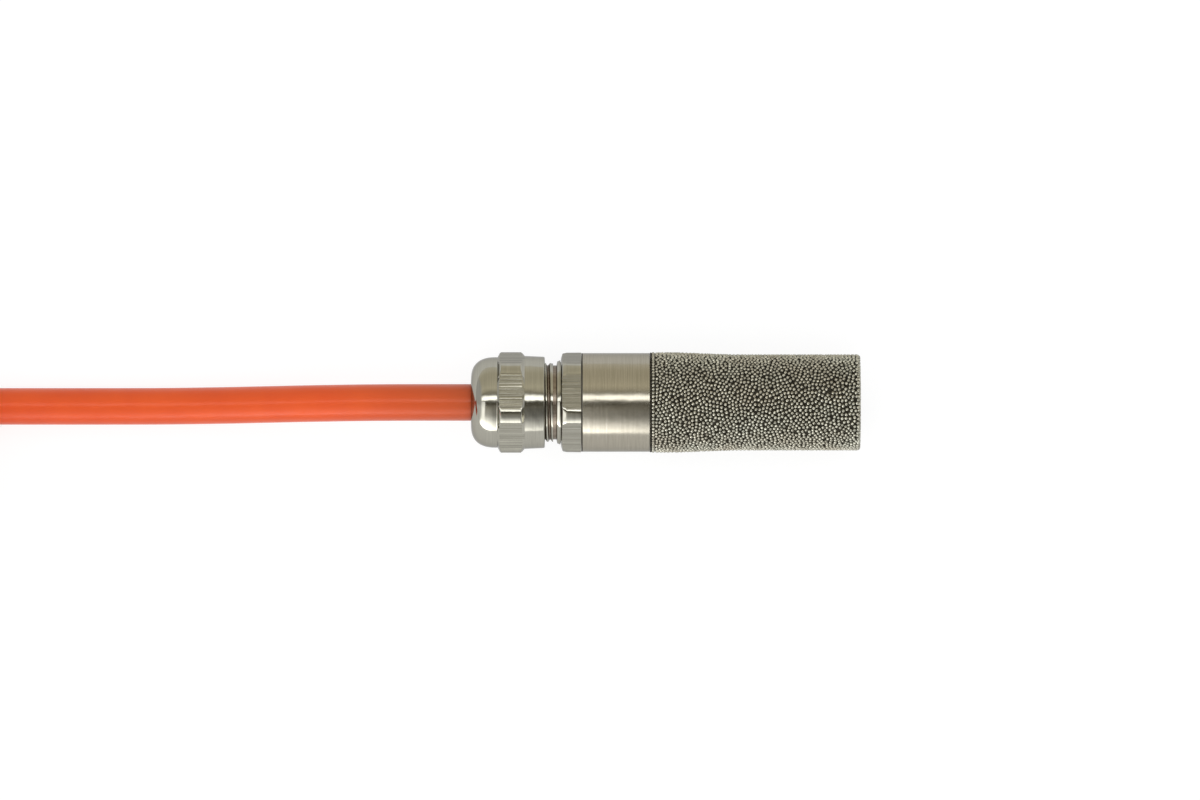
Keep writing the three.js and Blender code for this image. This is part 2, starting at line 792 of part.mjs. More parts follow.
/** One unbroken tube along a path of points, with flat ends. */
function windTube(points, radius, facets) {
  const positions = [];
  const index = [];
  points.forEach((point, i) => {
    const before = points[Math.max(i - 1, 0)];
    const after = points[Math.min(i + 1, points.length - 1)];
    const [side, above] = across(new THREE.Vector3().subVectors(after, before).normalize());
    for (let k = 0; k < facets; k += 1) {
      const angle = (k * 2 * Math.PI) / facets + Math.PI / 2;
      const corner = point
        .clone()
        .addScaledVector(side, radius * Math.cos(angle))
        .addScaledVector(above, radius * Math.sin(angle));
      positions.push(corner.x, corner.y, corner.z);
      if (i === points.length - 1) continue;
      const next = (k + 1) % facets;
      const [a, b, c, d] = [i * facets + k, i * facets + next, (i + 1) * facets + next, (i + 1) * facets + k];
      index.push(a, b, c, a, c, d);
    }
  });
  const endRing = (points.length - 1) * facets;
  for (let k = 1; k < facets - 1; k += 1) {
    index.push(0, k + 1, k, endRing, endRing + k, endRing + k + 1);
  }
  const geometry = new THREE.BufferGeometry();
  geometry.setAttribute('position', new THREE.Float32BufferAttribute(positions, 3));
  geometry.setIndex(index);
  return toSolid(geometry);
}

/** Least distance between the surfaces of stretches of a path that are further apart along it than a fold. */
function leastGap(points, radius) {
  const along = [0];
  points.slice(1).forEach((point, i) => along.push(along[i] + point.distanceTo(points[i])));
  let least = Infinity;
  points.forEach((a, i) => {
    for (let j = i + 1; j < points.length; j += 1) {
      if (along[j] - along[i] > hank.foldRadius * 2) least = Math.min(least, a.distanceTo(points[j]));
    }
  });
  return least - 2 * radius;
}

/** Length of a path of points. */
function pathLength(points) {
  return points.slice(1).reduce((sum, point, i) => sum + point.distanceTo(points[i]), 0);
}

/** A tie round the waist of the hank, with its head on top. */
function hankTie() {
  const middle = (hankRight + hankLeft) / 2;
  const halfWidth = hank.foldRadius - hank.drawIn + cable.radius + tie.play;
  const low = hank.waistLift - tie.play;
  const high = 2 * cable.radius + hank.waistLift + (hank.turns - 1) * hank.layerPitch + tie.play;
  const band = (grow) => {
    const corner = cable.radius + tie.play + grow;
    const [a, b, c] = [halfWidth + grow, low - grow, high + grow];
    const outline = new THREE.Shape();
    outline.moveTo(corner - a, b);
    outline.absarc(a - corner, b + corner, corner, -Math.PI / 2, 0);
    outline.absarc(a - corner, c - corner, corner, 0, Math.PI / 2);
    outline.absarc(corner - a, c - corner, corner, Math.PI / 2, Math.PI);
    outline.absarc(corner - a, b + corner, corner, Math.PI, (3 * Math.PI) / 2);
    return outline;
  };
  const strip = (grow, depth) => {
    const options = { depth, bevelEnabled: false, curveSegments: tie.cornerFacets };
    const bar = new THREE.ExtrudeGeometry(band(grow), options).translate(0, 0, -depth / 2);
    return toSolid(bar.rotateX(Math.PI / 2).rotateZ(Math.PI / 2).translate(middle, hankMiddle, 0));
  };
  const loop = cut(strip(tie.thickness, tie.width), [strip(0, tie.width + 2 * cutterOverrun)]);
  const headCentre = high + tie.thickness / 2 + tie.headHeight / 2;
  const head = block([tie.headWidth, tie.headLength, tie.headHeight], [middle, hankMiddle, headCentre]);
  return join([loop, head]);
}

/** Points of one bare lead, which leaves the jacket's end and lies over the near fold. */
function leadRoute([side, up], length) {
  const last = hank.turns - 1;
  const foldLength = Math.PI * hank.foldRadius;
  const outward = side * lead.spread * (up > 0 ? 3 / 2 : 1 / 2);
  const lying = cable.radius + lead.radius + lead.rest;
  const down = Math.sqrt(lying ** 2 - outward ** 2) - hank.layerPitch;
  return Array.from({ length: lead.steps + 1 }, (_, i) => {
    const share = i / lead.steps;
    const foldShare = (joinGap + length * share) / foldLength;
    const centre = onNearFold(last, foldShare);
    const ahead = onNearFold(last, foldShare + 1 / hank.foldSteps).sub(centre).normalize();
    const [sideways, above] = across(ahead);
    const spreadShare = THREE.MathUtils.smoothstep(share, ...spreadShares);
    const settleShare = THREE.MathUtils.smoothstep(share, ...settleShares);
    return centre
      .addScaledVector(sideways, THREE.MathUtils.lerp(side * core.sideways, outward, spreadShare))
      .addScaledVector(above, THREE.MathUtils.lerp(up * core.upward, down, settleShare))
      .toArray();
  });
}

// Assembly

const probe = new THREE.Group();
probe.position.z = axisHeight;
probe.add(
  piece('gland_body', glandBody(), finishes.nickel),
  piece('dome_nut', domeNut(), finishes.nickel),
  piece('slip_ring', slipRing(), finishes.whiteNylon),
  piece('clamping_claw', clampingClaw(), finishes.greyNylon),
  piece('seal_bush', sealBush(), finishes.blackRubber),
  piece('gland_o_ring', sealingRing(), finishes.blackRubber),
  piece('filter_sleeve', filterSleeve(), finishes.brushedNickel),
  piece('sintered_filter', sinteredFilter(), finishes.sintered),
  piece('cable_inner', innerCable(), finishes.orangeSheath),
  piece('potting_plug', pottingPlug(), finishes.resin),
  piece('board_guide_ring', boardGuideRing(), finishes.whiteNylon),
);

const wireNames = ['red', 'black', 'yellow', 'green'];
wireNames.forEach((colour, i) => {
  probe.add(piece(`core_${colour}`, innerCore(coreSigns[i]), finishes[colour]));
});

const electronics = new THREE.Group();
electronics.position.x = (boardStart + boardEnd) / 2;
probe.add(electronics);
electronics.add(piece('sensor_board', sensorBoard(), finishes.boardGreen));
const boardTop = board.thickness / 2 + boardSeat;
const humidity = piece('humidity_sensor', humiditySensor(), finishes.chipBlack);
humidity.position.set(
  board.length / 2 - sensor.fromEnd - sensor.length / 2,
  0,
  boardTop + sensor.height / 2,
);
electronics.add(humidity);

const padsX = padsAt - (boardStart + boardEnd) / 2;
const chips = [
  ['bypass_capacitor', finishes.ceramicTan, 0],
  ['data_pull_up', finishes.chipBlack, 1],
  ['clock_pull_up', finishes.chipBlack, -1],
];
chips.forEach(([name, material, row]) => {
  const chipMesh = piece(name, plate(chip.length, chip.width, chip.height, chip.edge), material);
  chipMesh.position.set(padsX + chip.fromPads, row * chip.pitch, boardTop + chip.height / 2);
  electronics.add(chipMesh);
});

wireNames.forEach((colour, i) => {
  const [side, up] = coreSigns[i];
  const joint = piece(`solder_joint_${colour}`, solderJoint(), finishes.solder);
  joint.rotation.y = (-up * Math.PI) / 2;
  joint.position.set(padsX, side * solder.sideways, up * boardTop);
  electronics.add(joint);
});

const lyingCable = new THREE.Group();
const climbShare = (straightShare + tiedShare) / 2;
const hankPoints = hankRoute(hank.foldSteps, [0, climbShare, tiedShare, 1 - tiedShare, 1 - climbShare]);
lyingCable.add(
  piece('cable_free', cord(freeRoute, cable.radius, cable.facets, cable.freeSteps), finishes.orangeSheath),
  piece('cable_hank', windTube(hankPoints, cable.radius, hank.facets), finishes.orangeSheath),
  piece('hank_tie', hankTie(), finishes.blackRubber),
);
wireNames.forEach((colour, i) => {
  const route = leadRoute(coreSigns[i], leadLengths[colour]);
  const end = new THREE.Vector3(...route.at(-1));
  const heading = end.clone().sub(new THREE.Vector3(...route.at(-2))).normalize();
  const tipFrom = end.clone().addScaledVector(heading, tinned.gap);
  const tipTo = tipFrom.clone().addScaledVector(heading, tinned.length);
  const tipMiddle = tipFrom.clone().lerp(tipTo, 1 / 2);
  lyingCable.add(
    piece(`lead_${colour}`, cord(route, lead.radius, lead.facets, lead.steps), finishes[colour]),
    piece(
      `tinned_end_${colour}`,
      cord([tipFrom, tipMiddle, tipTo].map((point) => point.toArray()), tinned.radius, tinned.facets, 1),
      finishes.solder,
    ),
  );
});

// What the cable comes to
const fineSteps = 48;
const fineShares = Array.from({ length: fineSteps }, (_, i) => i / fineSteps);
const finePoints = hankRoute(fineSteps, fineShares);
const freeLength = pathLength(freeRoute.map((point) => new THREE.Vector3(...point)));
console.log(`hank's least gap to itself: ${leastGap(finePoints, cable.radius).toFixed(2)} mm`);
console.log(`cable outside the gland: ${(freeLength + joinGap + pathLength(finePoints)).toFixed(0)} mm`);

const soilMoistureProbe = new THREE.Group();
soilMoistureProbe.add(probe, lyingCable);

export default soilMoistureProbe;
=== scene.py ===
"""Looks of a soil moisture probe: a sintered metal tip, a screwed sleeve, a cable gland and an orange cable.

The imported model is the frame. Every piece here sits on it and rides on one of its bodies. Sizes are in
millimetres, as on a maker's drawing, and MM turns them into Blender's metres. The probe lies along X with its
tip at +X, and z = 0 is the surface that it lies on.
"""

import logging
import math
import random
from bisect import bisect_right
from collections.abc import Callable, Sequence
from dataclasses import dataclass
from enum import Enum

import bmesh
import bpy
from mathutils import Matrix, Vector
from mathutils.kdtree import KDTree


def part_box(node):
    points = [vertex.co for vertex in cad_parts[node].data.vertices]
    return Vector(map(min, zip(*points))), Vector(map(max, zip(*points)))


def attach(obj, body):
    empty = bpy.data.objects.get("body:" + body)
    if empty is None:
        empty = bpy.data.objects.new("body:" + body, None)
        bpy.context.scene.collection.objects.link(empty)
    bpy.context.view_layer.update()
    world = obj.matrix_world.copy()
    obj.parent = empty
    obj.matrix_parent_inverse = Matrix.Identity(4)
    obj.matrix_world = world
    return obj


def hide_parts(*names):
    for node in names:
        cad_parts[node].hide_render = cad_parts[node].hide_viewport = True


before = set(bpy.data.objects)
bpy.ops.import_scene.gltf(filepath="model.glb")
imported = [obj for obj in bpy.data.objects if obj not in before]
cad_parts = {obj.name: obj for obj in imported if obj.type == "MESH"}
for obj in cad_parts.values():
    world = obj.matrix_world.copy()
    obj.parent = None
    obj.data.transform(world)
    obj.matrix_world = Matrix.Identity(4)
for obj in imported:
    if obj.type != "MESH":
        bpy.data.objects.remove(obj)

LOG = logging.getLogger("soil_moisture_probe")
MM = 0.001
# Sizes in millimetres that differ by less than this count as equal
TOUCH = 1e-4
FULL_TURN = 2 * math.pi
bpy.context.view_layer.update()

# Stations and radii, in millimetres
Outline = list[tuple[float, float]]
# Station, radius and rounding of each corner of an outline
Corners = Sequence[tuple[float, float, float]]
# Gives the finished radius from the station, the turned radius and the angle round the axis
Shaping = Callable[[float, float, float], float]


class Body(Enum):
    """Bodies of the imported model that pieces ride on."""

    GLAND = "gland"
    NUT = "nut"
    TIP = "tip"


class Wire(Enum):
    """The cable's four cores: their colour, and the side and the height that each leaves the sheath at."""

    RED = ("red", -1, 1)
    BLACK = ("black", 1, 1)
    YELLOW = ("yellow", -1, -1)
    GREEN = ("green", 1, -1)


# Places and paths


def span(node: str) -> tuple[float, float]:
    """Start and end of a CAD node along the probe, in millimetres."""
    low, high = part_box(node)
    return low[0] / MM, high[0] / MM


def axis_height() -> float:
    """Height of the probe's axis over the surface that it lies on, in millimetres."""
    low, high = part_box("dome_nut")
    return (low[2] + high[2]) / 2 / MM


AXIS = axis_height()


def round_axis(x: float, radius: float, angle: float) -> Vector:
    """Point at a radius and an angle round the probe's axis, in metres."""
    return Vector((x, radius * math.cos(angle), AXIS + radius * math.sin(angle))) * MM


def clamp(value: float, low: float = 0.0, high: float = 1.0) -> float:
    """The value, kept between two limits."""
    return min(max(value, low), high)


def smoothstep(value: float, start: float, end: float) -> float:
    """Smooth rise from 0 at the start to 1 at the end."""
    share = clamp((value - start) / (end - start))
    return share * share * (3 - 2 * share)


def least(first: float, second: float, blend: float) -> float:
    """The smaller of two radii, with the edge between them rounded over a blend width."""
    near = max(blend - abs(first - second), 0.0) / blend
    return min(first, second) - near * near * blend / 4


def rounded(corners: Corners, steps: int = 6) -> Outline:
    """Round the corners of a closed outline.

    Args:
        corners: Station, radius and rounding of each corner, in millimetres.
        steps: Steps in each rounded corner.

    Returns:
        The outline's points, as stations and radii.
    """
    # A rounding takes less than half of the stretch on either side of its corner
    most = 0.49
    outline: Outline = []
    for i, (x, radius, bend) in enumerate(corners):
        if bend <= 0:
            outline.append((x, radius))
            continue
        here = Vector((x, radius))
        back = Vector(corners[i - 1][:2]) - here
        ahead = Vector(corners[(i + 1) % len(corners)][:2]) - here
        half = back.angle(ahead) / 2
        reach = min(bend / math.tan(half), most * back.length, most * ahead.length)
        bend = reach * math.tan(half)
        centre = here + (back.normalized() + ahead.normalized()).normalized() * (bend / math.sin(half))
        start = here + back.normalized() * reach - centre
        sweep = start.angle_signed(here + ahead.normalized() * reach - centre)
        for step in range(steps + 1):
            turn = sweep * step / steps
            x_part = start.x * math.cos(turn) + start.y * math.sin(turn)
            y_part = start.y * math.cos(turn) - start.x * math.sin(turn)
            outline.append((centre.x + x_part, centre.y + y_part))
    return outline


def run(start: float, end: float, radius: float, step: float) -> Outline:
    """Evenly spaced stations along a straight stretch of an outline."""
    count = max(round(abs(end - start) / step), 1)
    return [(start + (end - start) * i / count, radius) for i in range(count + 1)]


def smooth_path(points: Sequence[Vector], per_span: int) -> list[Vector]:
    """Points of a smooth curve through given points.

    Args:
        points: The points that the curve passes through.
        per_span: Steps between one point and the next.

    Returns:
        The curve's points, with the first and the last of those given.
    """
    ends = [2 * points[0] - points[1], *points, 2 * points[-1] - points[-2]]
    path = []
    for before, here, after, beyond in zip(ends, ends[1:], ends[2:], ends[3:]):
        for step in range(per_span):
            t = step / per_span
            path.append(
                here
                + (after - before) * (t / 2)
                + (2 * before - 5 * here + 4 * after - beyond) * (t * t / 2)
                + (3 * here - before - 3 * after + beyond) * (t * t * t / 2)
            )
    return [*path, points[-1].copy()]


# Meshes


def finished(
    name: str, points: Sequence[Vector], faces: Sequence[Sequence[int]], crease: float = 48
) -> bpy.types.Object:
    """Make an object with outward faces, shaded smooth up to a crease.

    Args:
        name: Name of the new object.
        points: Its points, in metres.
        faces: Its faces, as numbers of points.
        crease: Angle in degrees from which an edge stays sharp.

    Returns:
        The new object, linked to the scene.
    """
    mesh = bpy.data.meshes.new(name)
    mesh.from_pydata([tuple(point) for point in points], [], [tuple(face) for face in faces])
    work = bmesh.new()
    work.from_mesh(mesh)
    bmesh.ops.recalc_face_normals(work, faces=work.faces)
    work.to_mesh(mesh)
    work.free()
    mesh.shade_smooth()
    mesh.set_sharp_from_angle(angle=math.radians(crease))
    piece = bpy.data.objects.new(name, mesh)
    bpy.context.scene.collection.objects.link(piece)
    return piece


def ring_faces(first: int, rings: int, sides: int, closed: bool = False) -> list[list[int]]:
    """Join rings of points that follow one another in a mesh.

    Args:
        first: Number of the first ring's first point.
        rings: Number of rings.
        sides: Points in each ring.
        closed: Whether the last ring joins the first one.

    Returns:
        The four-sided faces between the rings.
    """
    faces = []
    for row in range(rings if closed else rings - 1):
        low, high = first + row * sides, first + (row + 1) % rings * sides
        for k in range(sides):
            after = (k + 1) % sides
            faces.append([low + k, low + after, high + after, high + k])
    return faces


def ring_cap(first: int, sides: int) -> list[int]:
    """The face that closes a ring of points."""
    return [first + k for k in range(sides)]


def turned(name: str, outline: Outline, segments: int, shape: Shaping | None = None) -> bpy.types.Object:
    """Revolve an outline about the probe's axis.

    Args:
        name: Name of the new object.
        outline: Stations and radii in order, in millimetres. Its ends join, unless they lie on the axis.
        segments: Facets round the axis.
        shape: Gives the finished radius from the station, the turned radius and the angle.

    Returns:
        The new object.
    """
    points: list[Vector] = []
    rows: list[list[int]] = []
    for x, radius in outline:
        if radius < TOUCH:
            rows.append([len(points)] * segments)
            points.append(round_axis(x, 0, 0))
            continue
        rows.append([len(points) + k for k in range(segments)])
        for k in range(segments):
            angle = FULL_TURN * k / segments
            points.append(round_axis(x, shape(x, radius, angle) if shape else radius, angle))
    pairs = list(zip(rows, rows[1:]))
    if outline[0][1] >= TOUCH:
        pairs.append((rows[-1], rows[0]))
    faces = []
    for low, high in pairs:
        for k in range(segments):
            after = (k + 1) % segments
            # Points on the axis are shared, so a face there has fewer than four
            face = list(dict.fromkeys((low[k], low[after], high[after], high[k])))
            if len(face) > 2:
                faces.append(face)
    return finished(name, points, faces)


def tube(
    name: str, path: Sequence[Vector], radius: float, sides: int, end: Sequence[tuple[float, float]]
) -> bpy.types.Object:
    """Sweep a round section along a path.

    Args:
        name: Name of the new object.
        path: Centre line, in metres.
        radius: Radius of the section, in millimetres.
        sides: Sides of the section.
        end: Rings after the last point, as distances along the path and radii, in millimetres.

    Returns:
        The new object.
    """
    headings = [(b - a).normalized() for a, b in zip([path[0], *path[:-1]], [*path[1:], path[-1]])]
    side = headings[0].cross(Vector((0, 0, 1))).normalized()
    rings = [(point, heading, radius) for point, heading in zip(path, headings)]
    rings += [(path[-1] + headings[-1] * along * MM, headings[-1], size) for along, size in end]
    points = []
    for centre, heading, size in rings:
        side = (side - heading * side.dot(heading)).normalized()
        above = side.cross(heading)
        for k in range(sides):
            angle = FULL_TURN * k / sides
            points.append(centre + (side * math.cos(angle) + above * math.sin(angle)) * size * MM)
    caps = [ring_cap(0, sides), ring_cap(len(points) - sides, sides)]
    return finished(name, points, [*caps, *ring_faces(0, len(rings), sides)])


def place(piece: bpy.types.Object, body: Body, slot: str, *nodes: str) -> bpy.types.Object:
    """Put a piece on its body, in the place of CAD nodes.

    Args:
        piece: The piece.
        body: The body that it rides on.
        slot: Not used.
        nodes: CAD nodes that it stands for.

    Returns:
        The piece.
    """
    if nodes:
        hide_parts(*nodes)
    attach(piece, body.value)
    LOG.info("%s rides on %s", piece.name, body.value)
    return piece


# Finishes


def linear(colour: str) -> tuple[float, float, float, float]:
    """Turn an sRGB hex colour into linear values.

    Args:
        colour: The colour, as a hash sign and six digits.

    Returns:
        Red, green, blue and an alpha of 1.
    """
    parts = [int(colour[i : i + 2], 16) / 255 for i in (1, 3, 5)]
    red, green, blue = (p / 12.92 if p <= 0.04045 else ((p + 0.055) / 1.055) ** 2.4 for p in parts)
    return red, green, blue, 1.0


def add_node(
    tree: bpy.types.NodeTree, kind: str, settings: dict | None = None, links: dict | None = None
) -> bpy.types.Node:
    """Add a node with its settings and links.

    Args:
        tree: The node tree.
        kind: Type of the node.
        settings: Values for its properties, or for its sockets by name or number.
        links: Output sockets that feed its sockets, by name or number.

    Returns:
        The new node.
    """
    node = tree.nodes.new(kind)
    for key, value in (settings or {}).items():
        if isinstance(key, str) and hasattr(node, key):
            setattr(node, key, value)
        else:
            node.inputs[key].default_value = value
    for key, source in (links or {}).items():
        tree.links.new(source, node.inputs[key])
    return node


def pattern(tree: bpy.types.NodeTree, grain: Sequence[float], detail: float) -> bpy.types.NodeSocket:
    """A noise whose grain has a real size.

    Args:
        tree: The node tree.
        grain: Grain along X, Y and Z, in millimetres.
        detail: Octaves of finer grain.

    Returns:
        The noise, from 0 to 1.
    """
    where = add_node(tree, "ShaderNodeTexCoord")
    scaled = add_node(
        tree,
        "ShaderNodeMapping",
        {"Scale": [1 / (size * MM) for size in grain]},
        {"Vector": where.outputs["Object"]},
    )
    settings = {"Scale": 1.0, "Detail": detail}
    noise = add_node(tree, "ShaderNodeTexNoise", settings, {"Vector": scaled.outputs["Vector"]})
    return noise.outputs["Fac"]


def maths(tree: bpy.types.NodeTree, operation: str, *values: bpy.types.NodeSocket | float) -> bpy.types.NodeSocket:
    """Work something out from one or two values.

    Args:
        tree: The node tree.
        operation: What is worked out.
        values: The values, each a socket or a number.

    Returns:
        The result.
    """
    numbers = {i: value for i, value in enumerate(values) if isinstance(value, float)}
    sockets = {i: value for i, value in enumerate(values) if i not in numbers}
    return add_node(tree, "ShaderNodeMath", {"operation": operation, **numbers}, sockets).outputs["Value"]


def mapped(
    tree: bpy.types.NodeTree,
    source: bpy.types.NodeSocket,
    limits: Sequence[float],
    levels: Sequence[float] = (0.0, 1.0),
) -> bpy.types.NodeSocket:
    """Turn the values between two limits into values between two levels.

    Args:
        tree: The node tree.
        source: The values.
        limits: The values that become the first level and the second one.
        levels: Both levels.

    Returns:
        The new values, none of them past a level.
    """
    settings = dict(zip(("From Min", "From Max", "To Min", "To Max"), (*limits, *levels)))
    return add_node(tree, "ShaderNodeMapRange", settings, {"Value": source}).outputs["Result"]


def tinted(
    tree: bpy.types.NodeTree,
    share: bpy.types.NodeSocket,
    under: bpy.types.NodeSocket,
    over: tuple[float, float, float, float],
    blend: str = "MIX",
) -> bpy.types.NodeSocket:
    """Lay a fixed colour over another colour.

    Args:
        tree: The node tree.
        share: How far the fixed colour covers the other one.
        under: The other colour.
        over: The fixed colour, as linear values.
        blend: How the two are blended.

    Returns:
        The mixed colour.
    """
    settings = {"data_type": "RGBA", "blend_type": blend, 7: over}
    return add_node(tree, "ShaderNodeMix", settings, {0: share, 6: under}).outputs[2]


# Most of a noise's values lie in this range
NOISE_RANGE = (0.3, 0.7)


def fade(tree: bpy.types.NodeTree, source: bpy.types.NodeSocket, low: float, high: float) -> bpy.types.NodeSocket:
    """Spread a noise's usual range over other limits."""
    return mapped(tree, source, NOISE_RANGE, (low, high))


def between(tree: bpy.types.NodeTree, share: bpy.types.NodeSocket, first: str, second: str) -> bpy.types.NodeSocket:
    """Mix two colours by a noise.

    Args:
        tree: The node tree.
        share: The noise.
        first: Colour at its low values, in sRGB.
        second: Colour at its high values, in sRGB.

    Returns:
        The mixed colour.
    """
    ramp = add_node(tree, "ShaderNodeValToRGB", links={"Fac": share})
    for stop, colour, position in zip(ramp.color_ramp.elements, (first, second), NOISE_RANGE):
        stop.color = linear(colour)
        stop.position = position
    return ramp.outputs["Color"]


def relief(
    tree: bpy.types.NodeTree, height: bpy.types.NodeSocket, depth: float, under: bpy.types.Node | None = None
) -> bpy.types.Node:
    """Raise a noise as a bump of a real depth.

    Args:
        tree: The node tree.
        height: The noise.
        depth: Depth of the bump, in millimetres.
        under: Another bump that this one lies on.

    Returns:
        The bump.
    """
    links = {"Height": height}
    if under:
        links["Normal"] = under.outputs["Normal"]
    return add_node(tree, "ShaderNodeBump", {"Strength": 1.0, "Distance": depth * MM}, links)


def new_material(name: str) -> tuple[bpy.types.Material, bpy.types.NodeTree, bpy.types.Node]:
    """Start a material.

    Args:
        name: Name of the material.

    Returns:
        The material, its node tree and its output node.
    """
    material = bpy.data.materials.new(name)
    material.use_nodes = True
    material.node_tree.nodes.clear()
    return material, material.node_tree, add_node(material.node_tree, "ShaderNodeOutputMaterial")


# Nickel and steel mirror less at a grazing angle than plain metals do
GRAZING = "#CCCCCC"


@dataclass(frozen=True)
class WorkedMetal:
    """Metal with the marks of the tool that made its surface.

    Attributes:
        name: Name of the material.
        light: Colour of its bright marks.
        dark: Colour of its dull marks.
        smooth: Roughness of its bright marks.
        dull: Roughness of its dull marks.
        marks: Size of a tool mark along X, Y and Z, in millimetres.
        depth: Depth of the marks, in millimetres.
        waves: Depth of the long waves that polishing left, in millimetres.
        stretch: How far the marks stretch the reflections across themselves.
        round_marks: Whether the marks run round the probe's axis, and not along it.
        handling: Size of the patches that handling dulled, in millimetres.
        wave: Length of the waves, in millimetres.
    """

    name: str
    light: str
    dark: str
    smooth: float
    dull: float
    marks: tuple[float, float, float]
    depth: float
    waves: float = 0.003
    stretch: float = 0.0
    round_marks: bool = False
    handling: float = 6.0
    wave: float = 1.6

    def material(self) -> bpy.types.Material:
        """Build the material.

        Returns:
            The material.
        """
        material, tree, output = new_material(self.name)
        marks = pattern(tree, self.marks, 4.0)
        handling = pattern(tree, (self.handling,) * 3, 3.0)
        waves = relief(tree, pattern(tree, (self.wave,) * 3, 1.0), self.waves)
        bump = relief(tree, marks, self.depth, waves)
        tangent = add_node(tree, "ShaderNodeTangent", {"direction_type": "RADIAL", "axis": "X"})
        surface = add_node(
            tree,
            "ShaderNodeBsdfPrincipled",
            {
                "Metallic": 1.0,
                "Specular Tint": linear(GRAZING),
                "Anisotropic": self.stretch,
                "Anisotropic Rotation": 0.25 if self.round_marks else 0.0,
            },
            {
                "Base Color": between(tree, marks, self.dark, self.light),
                "Roughness": fade(tree, handling, self.smooth, self.dull),
                "Normal": bump.outputs["Normal"],
                "Tangent": tangent.outputs["Tangent"],
            },
        )
        tree.links.new(surface.outputs["BSDF"], output.inputs["Surface"])
        return material


@dataclass(frozen=True)
class SinteredMetal:
    """Metal powder fused bead to bead.

    Attributes:
        name: Name of the material.
        light: Colour of a clean bead.
        dark: Colour of a dull bead.
        tint: Colour of the beads that the furnace has browned.
        roughness: Roughness of a bead.
        bead: Size of a bead, in millimetres.
        patch: Size of a browned patch, in beads.
        browning: How far the browned beads take that colour.
        skin: Size of the grain of a bead's skin, as a share of the bead.
        skin_depth: Depth of that grain, as a share of the bead.
        metallic: Share of bare metal in the surface, the rest being oxide.
    """

    name: str
    light: str
    dark: str
    tint: str
    roughness: float
    bead: float
    patch: float = 9.0
    browning: float = 0.3
    skin: float = 1 / 6
    skin_depth: float = 1 / 30
    metallic: float = 0.85

    def material(self) -> bpy.types.Material:
        """Build the material.

        Returns:
            The material.
        """
        material, tree, output = new_material(self.name)
        each = pattern(tree, (self.bead,) * 3, 1.0)
        patches = pattern(tree, (self.bead * self.patch,) * 3, 2.0)
        skin = pattern(tree, (self.bead * self.skin,) * 3, 2.0)
        clean = between(tree, each, self.dark, self.light)
        browned = tinted(tree, fade(tree, patches, 0.0, self.browning), clean, linear(self.tint))
        bump = relief(tree, skin, self.bead * self.skin_depth)
        surface = add_node(
            tree,
            "ShaderNodeBsdfPrincipled",
            {"Metallic": self.metallic, "Roughness": self.roughness, "Specular Tint": linear(GRAZING)},
            {"Base Color": browned, "Normal": bump.outputs["Normal"]},
        )
        tree.links.new(surface.outputs["BSDF"], output.inputs["Surface"])
        return material


@dataclass(frozen=True)
class Polymer:
    """Moulded, extruded or cast plastic or rubber.

    Attributes:
        name: Name of the material.
        light: Colour where it is fresh.
        dark: Colour where it is rubbed or deep.
        roughness: Roughness of its skin.
        grain: Size of its skin's grain along X, Y and Z, in millimetres.
        depth: Depth of that grain, in millimetres.
        coat: Weight of a clear gloss over it.
        shine: Level of its own gloss.
        painted_shade: Colour of a stretch darkened as painted shade, if it has one.
        painted_shade_stations: Stations where that painted shade starts and where it is full, in millimetres.
        patch: Size of the patches of either colour, in millimetres.
        uneven: How far the roughness strays from its mean.
        coat_roughness: Roughness of the clear gloss.
        refraction: Index of refraction.
    """

    name: str
    light: str
    dark: str
    roughness: float
    grain: tuple[float, float, float]
    depth: float
    coat: float = 0.0
    shine: float = 0.5
    painted_shade: str = ""
    painted_shade_stations: tuple[float, float] = (0.0, 1.0)
    patch: float = 5.0
    uneven: float = 0.05
    coat_roughness: float = 0.12
    refraction: float = 1.5

    def colour(self, tree: bpy.types.NodeTree) -> bpy.types.NodeSocket:
        """Colour the skin.

        Args:
            tree: The node tree.

        Returns:
            The colour, in soft patches, and darkened by painted shade over a stretch, where it has one.
        """
        fresh = between(tree, pattern(tree, (self.patch,) * 3, 3.0), self.dark, self.light)
        if not self.painted_shade:
            return fresh
        # Painted shade: the colour darkens over a stretch along X
        where = add_node(tree, "ShaderNodeTexCoord")
        parts = add_node(tree, "ShaderNodeSeparateXYZ", links={"Vector": where.outputs["Object"]})
        share = mapped(tree, parts.outputs["X"], [station * MM for station in self.painted_shade_stations])
        return tinted(tree, share, fresh, linear(self.painted_shade))

    def material(self) -> bpy.types.Material:
        """Build the material.

        Returns:
            The material.
        """
        material, tree, output = new_material(self.name)
        skin = pattern(tree, self.grain, 3.0)
        bump = relief(tree, skin, self.depth)
        surface = add_node(
            tree,
            "ShaderNodeBsdfPrincipled",
            {
                "IOR": self.refraction,
                "Specular IOR Level": self.shine,
                "Coat Weight": self.coat,
                "Coat Roughness": self.coat_roughness,
            },
            {
                "Base Color": self.colour(tree),
                "Roughness": fade(tree, skin, self.roughness - self.uneven, self.roughness + self.uneven),
                "Normal": bump.outputs["Normal"],
            },
        )
        tree.links.new(surface.outputs["BSDF"], output.inputs["Surface"])
        return material


Finish = WorkedMetal | SinteredMetal | Polymer

# Nickel plate on turned brass: fine rings from the lathe under a bright plate, so its reflections stay sharp
TURNED_NICKEL = WorkedMetal("nickel_plate_turned", "#A7A59A", "#9D9B90", 0.07, 0.12, (0.15, 6.0, 6.0), 0.0006, 0.03)
# Nickel plate on drawn hexagon bar: deep lines along the bar that break up its reflections across them, drawn
# coarser than the real ones so that they show
DRAWN_NICKEL = WorkedMetal("nickel_plate_drawn", "#B4B2A5", "#76746A", 0.13, 0.19, (30.0, 0.17, 0.17), 0.03)
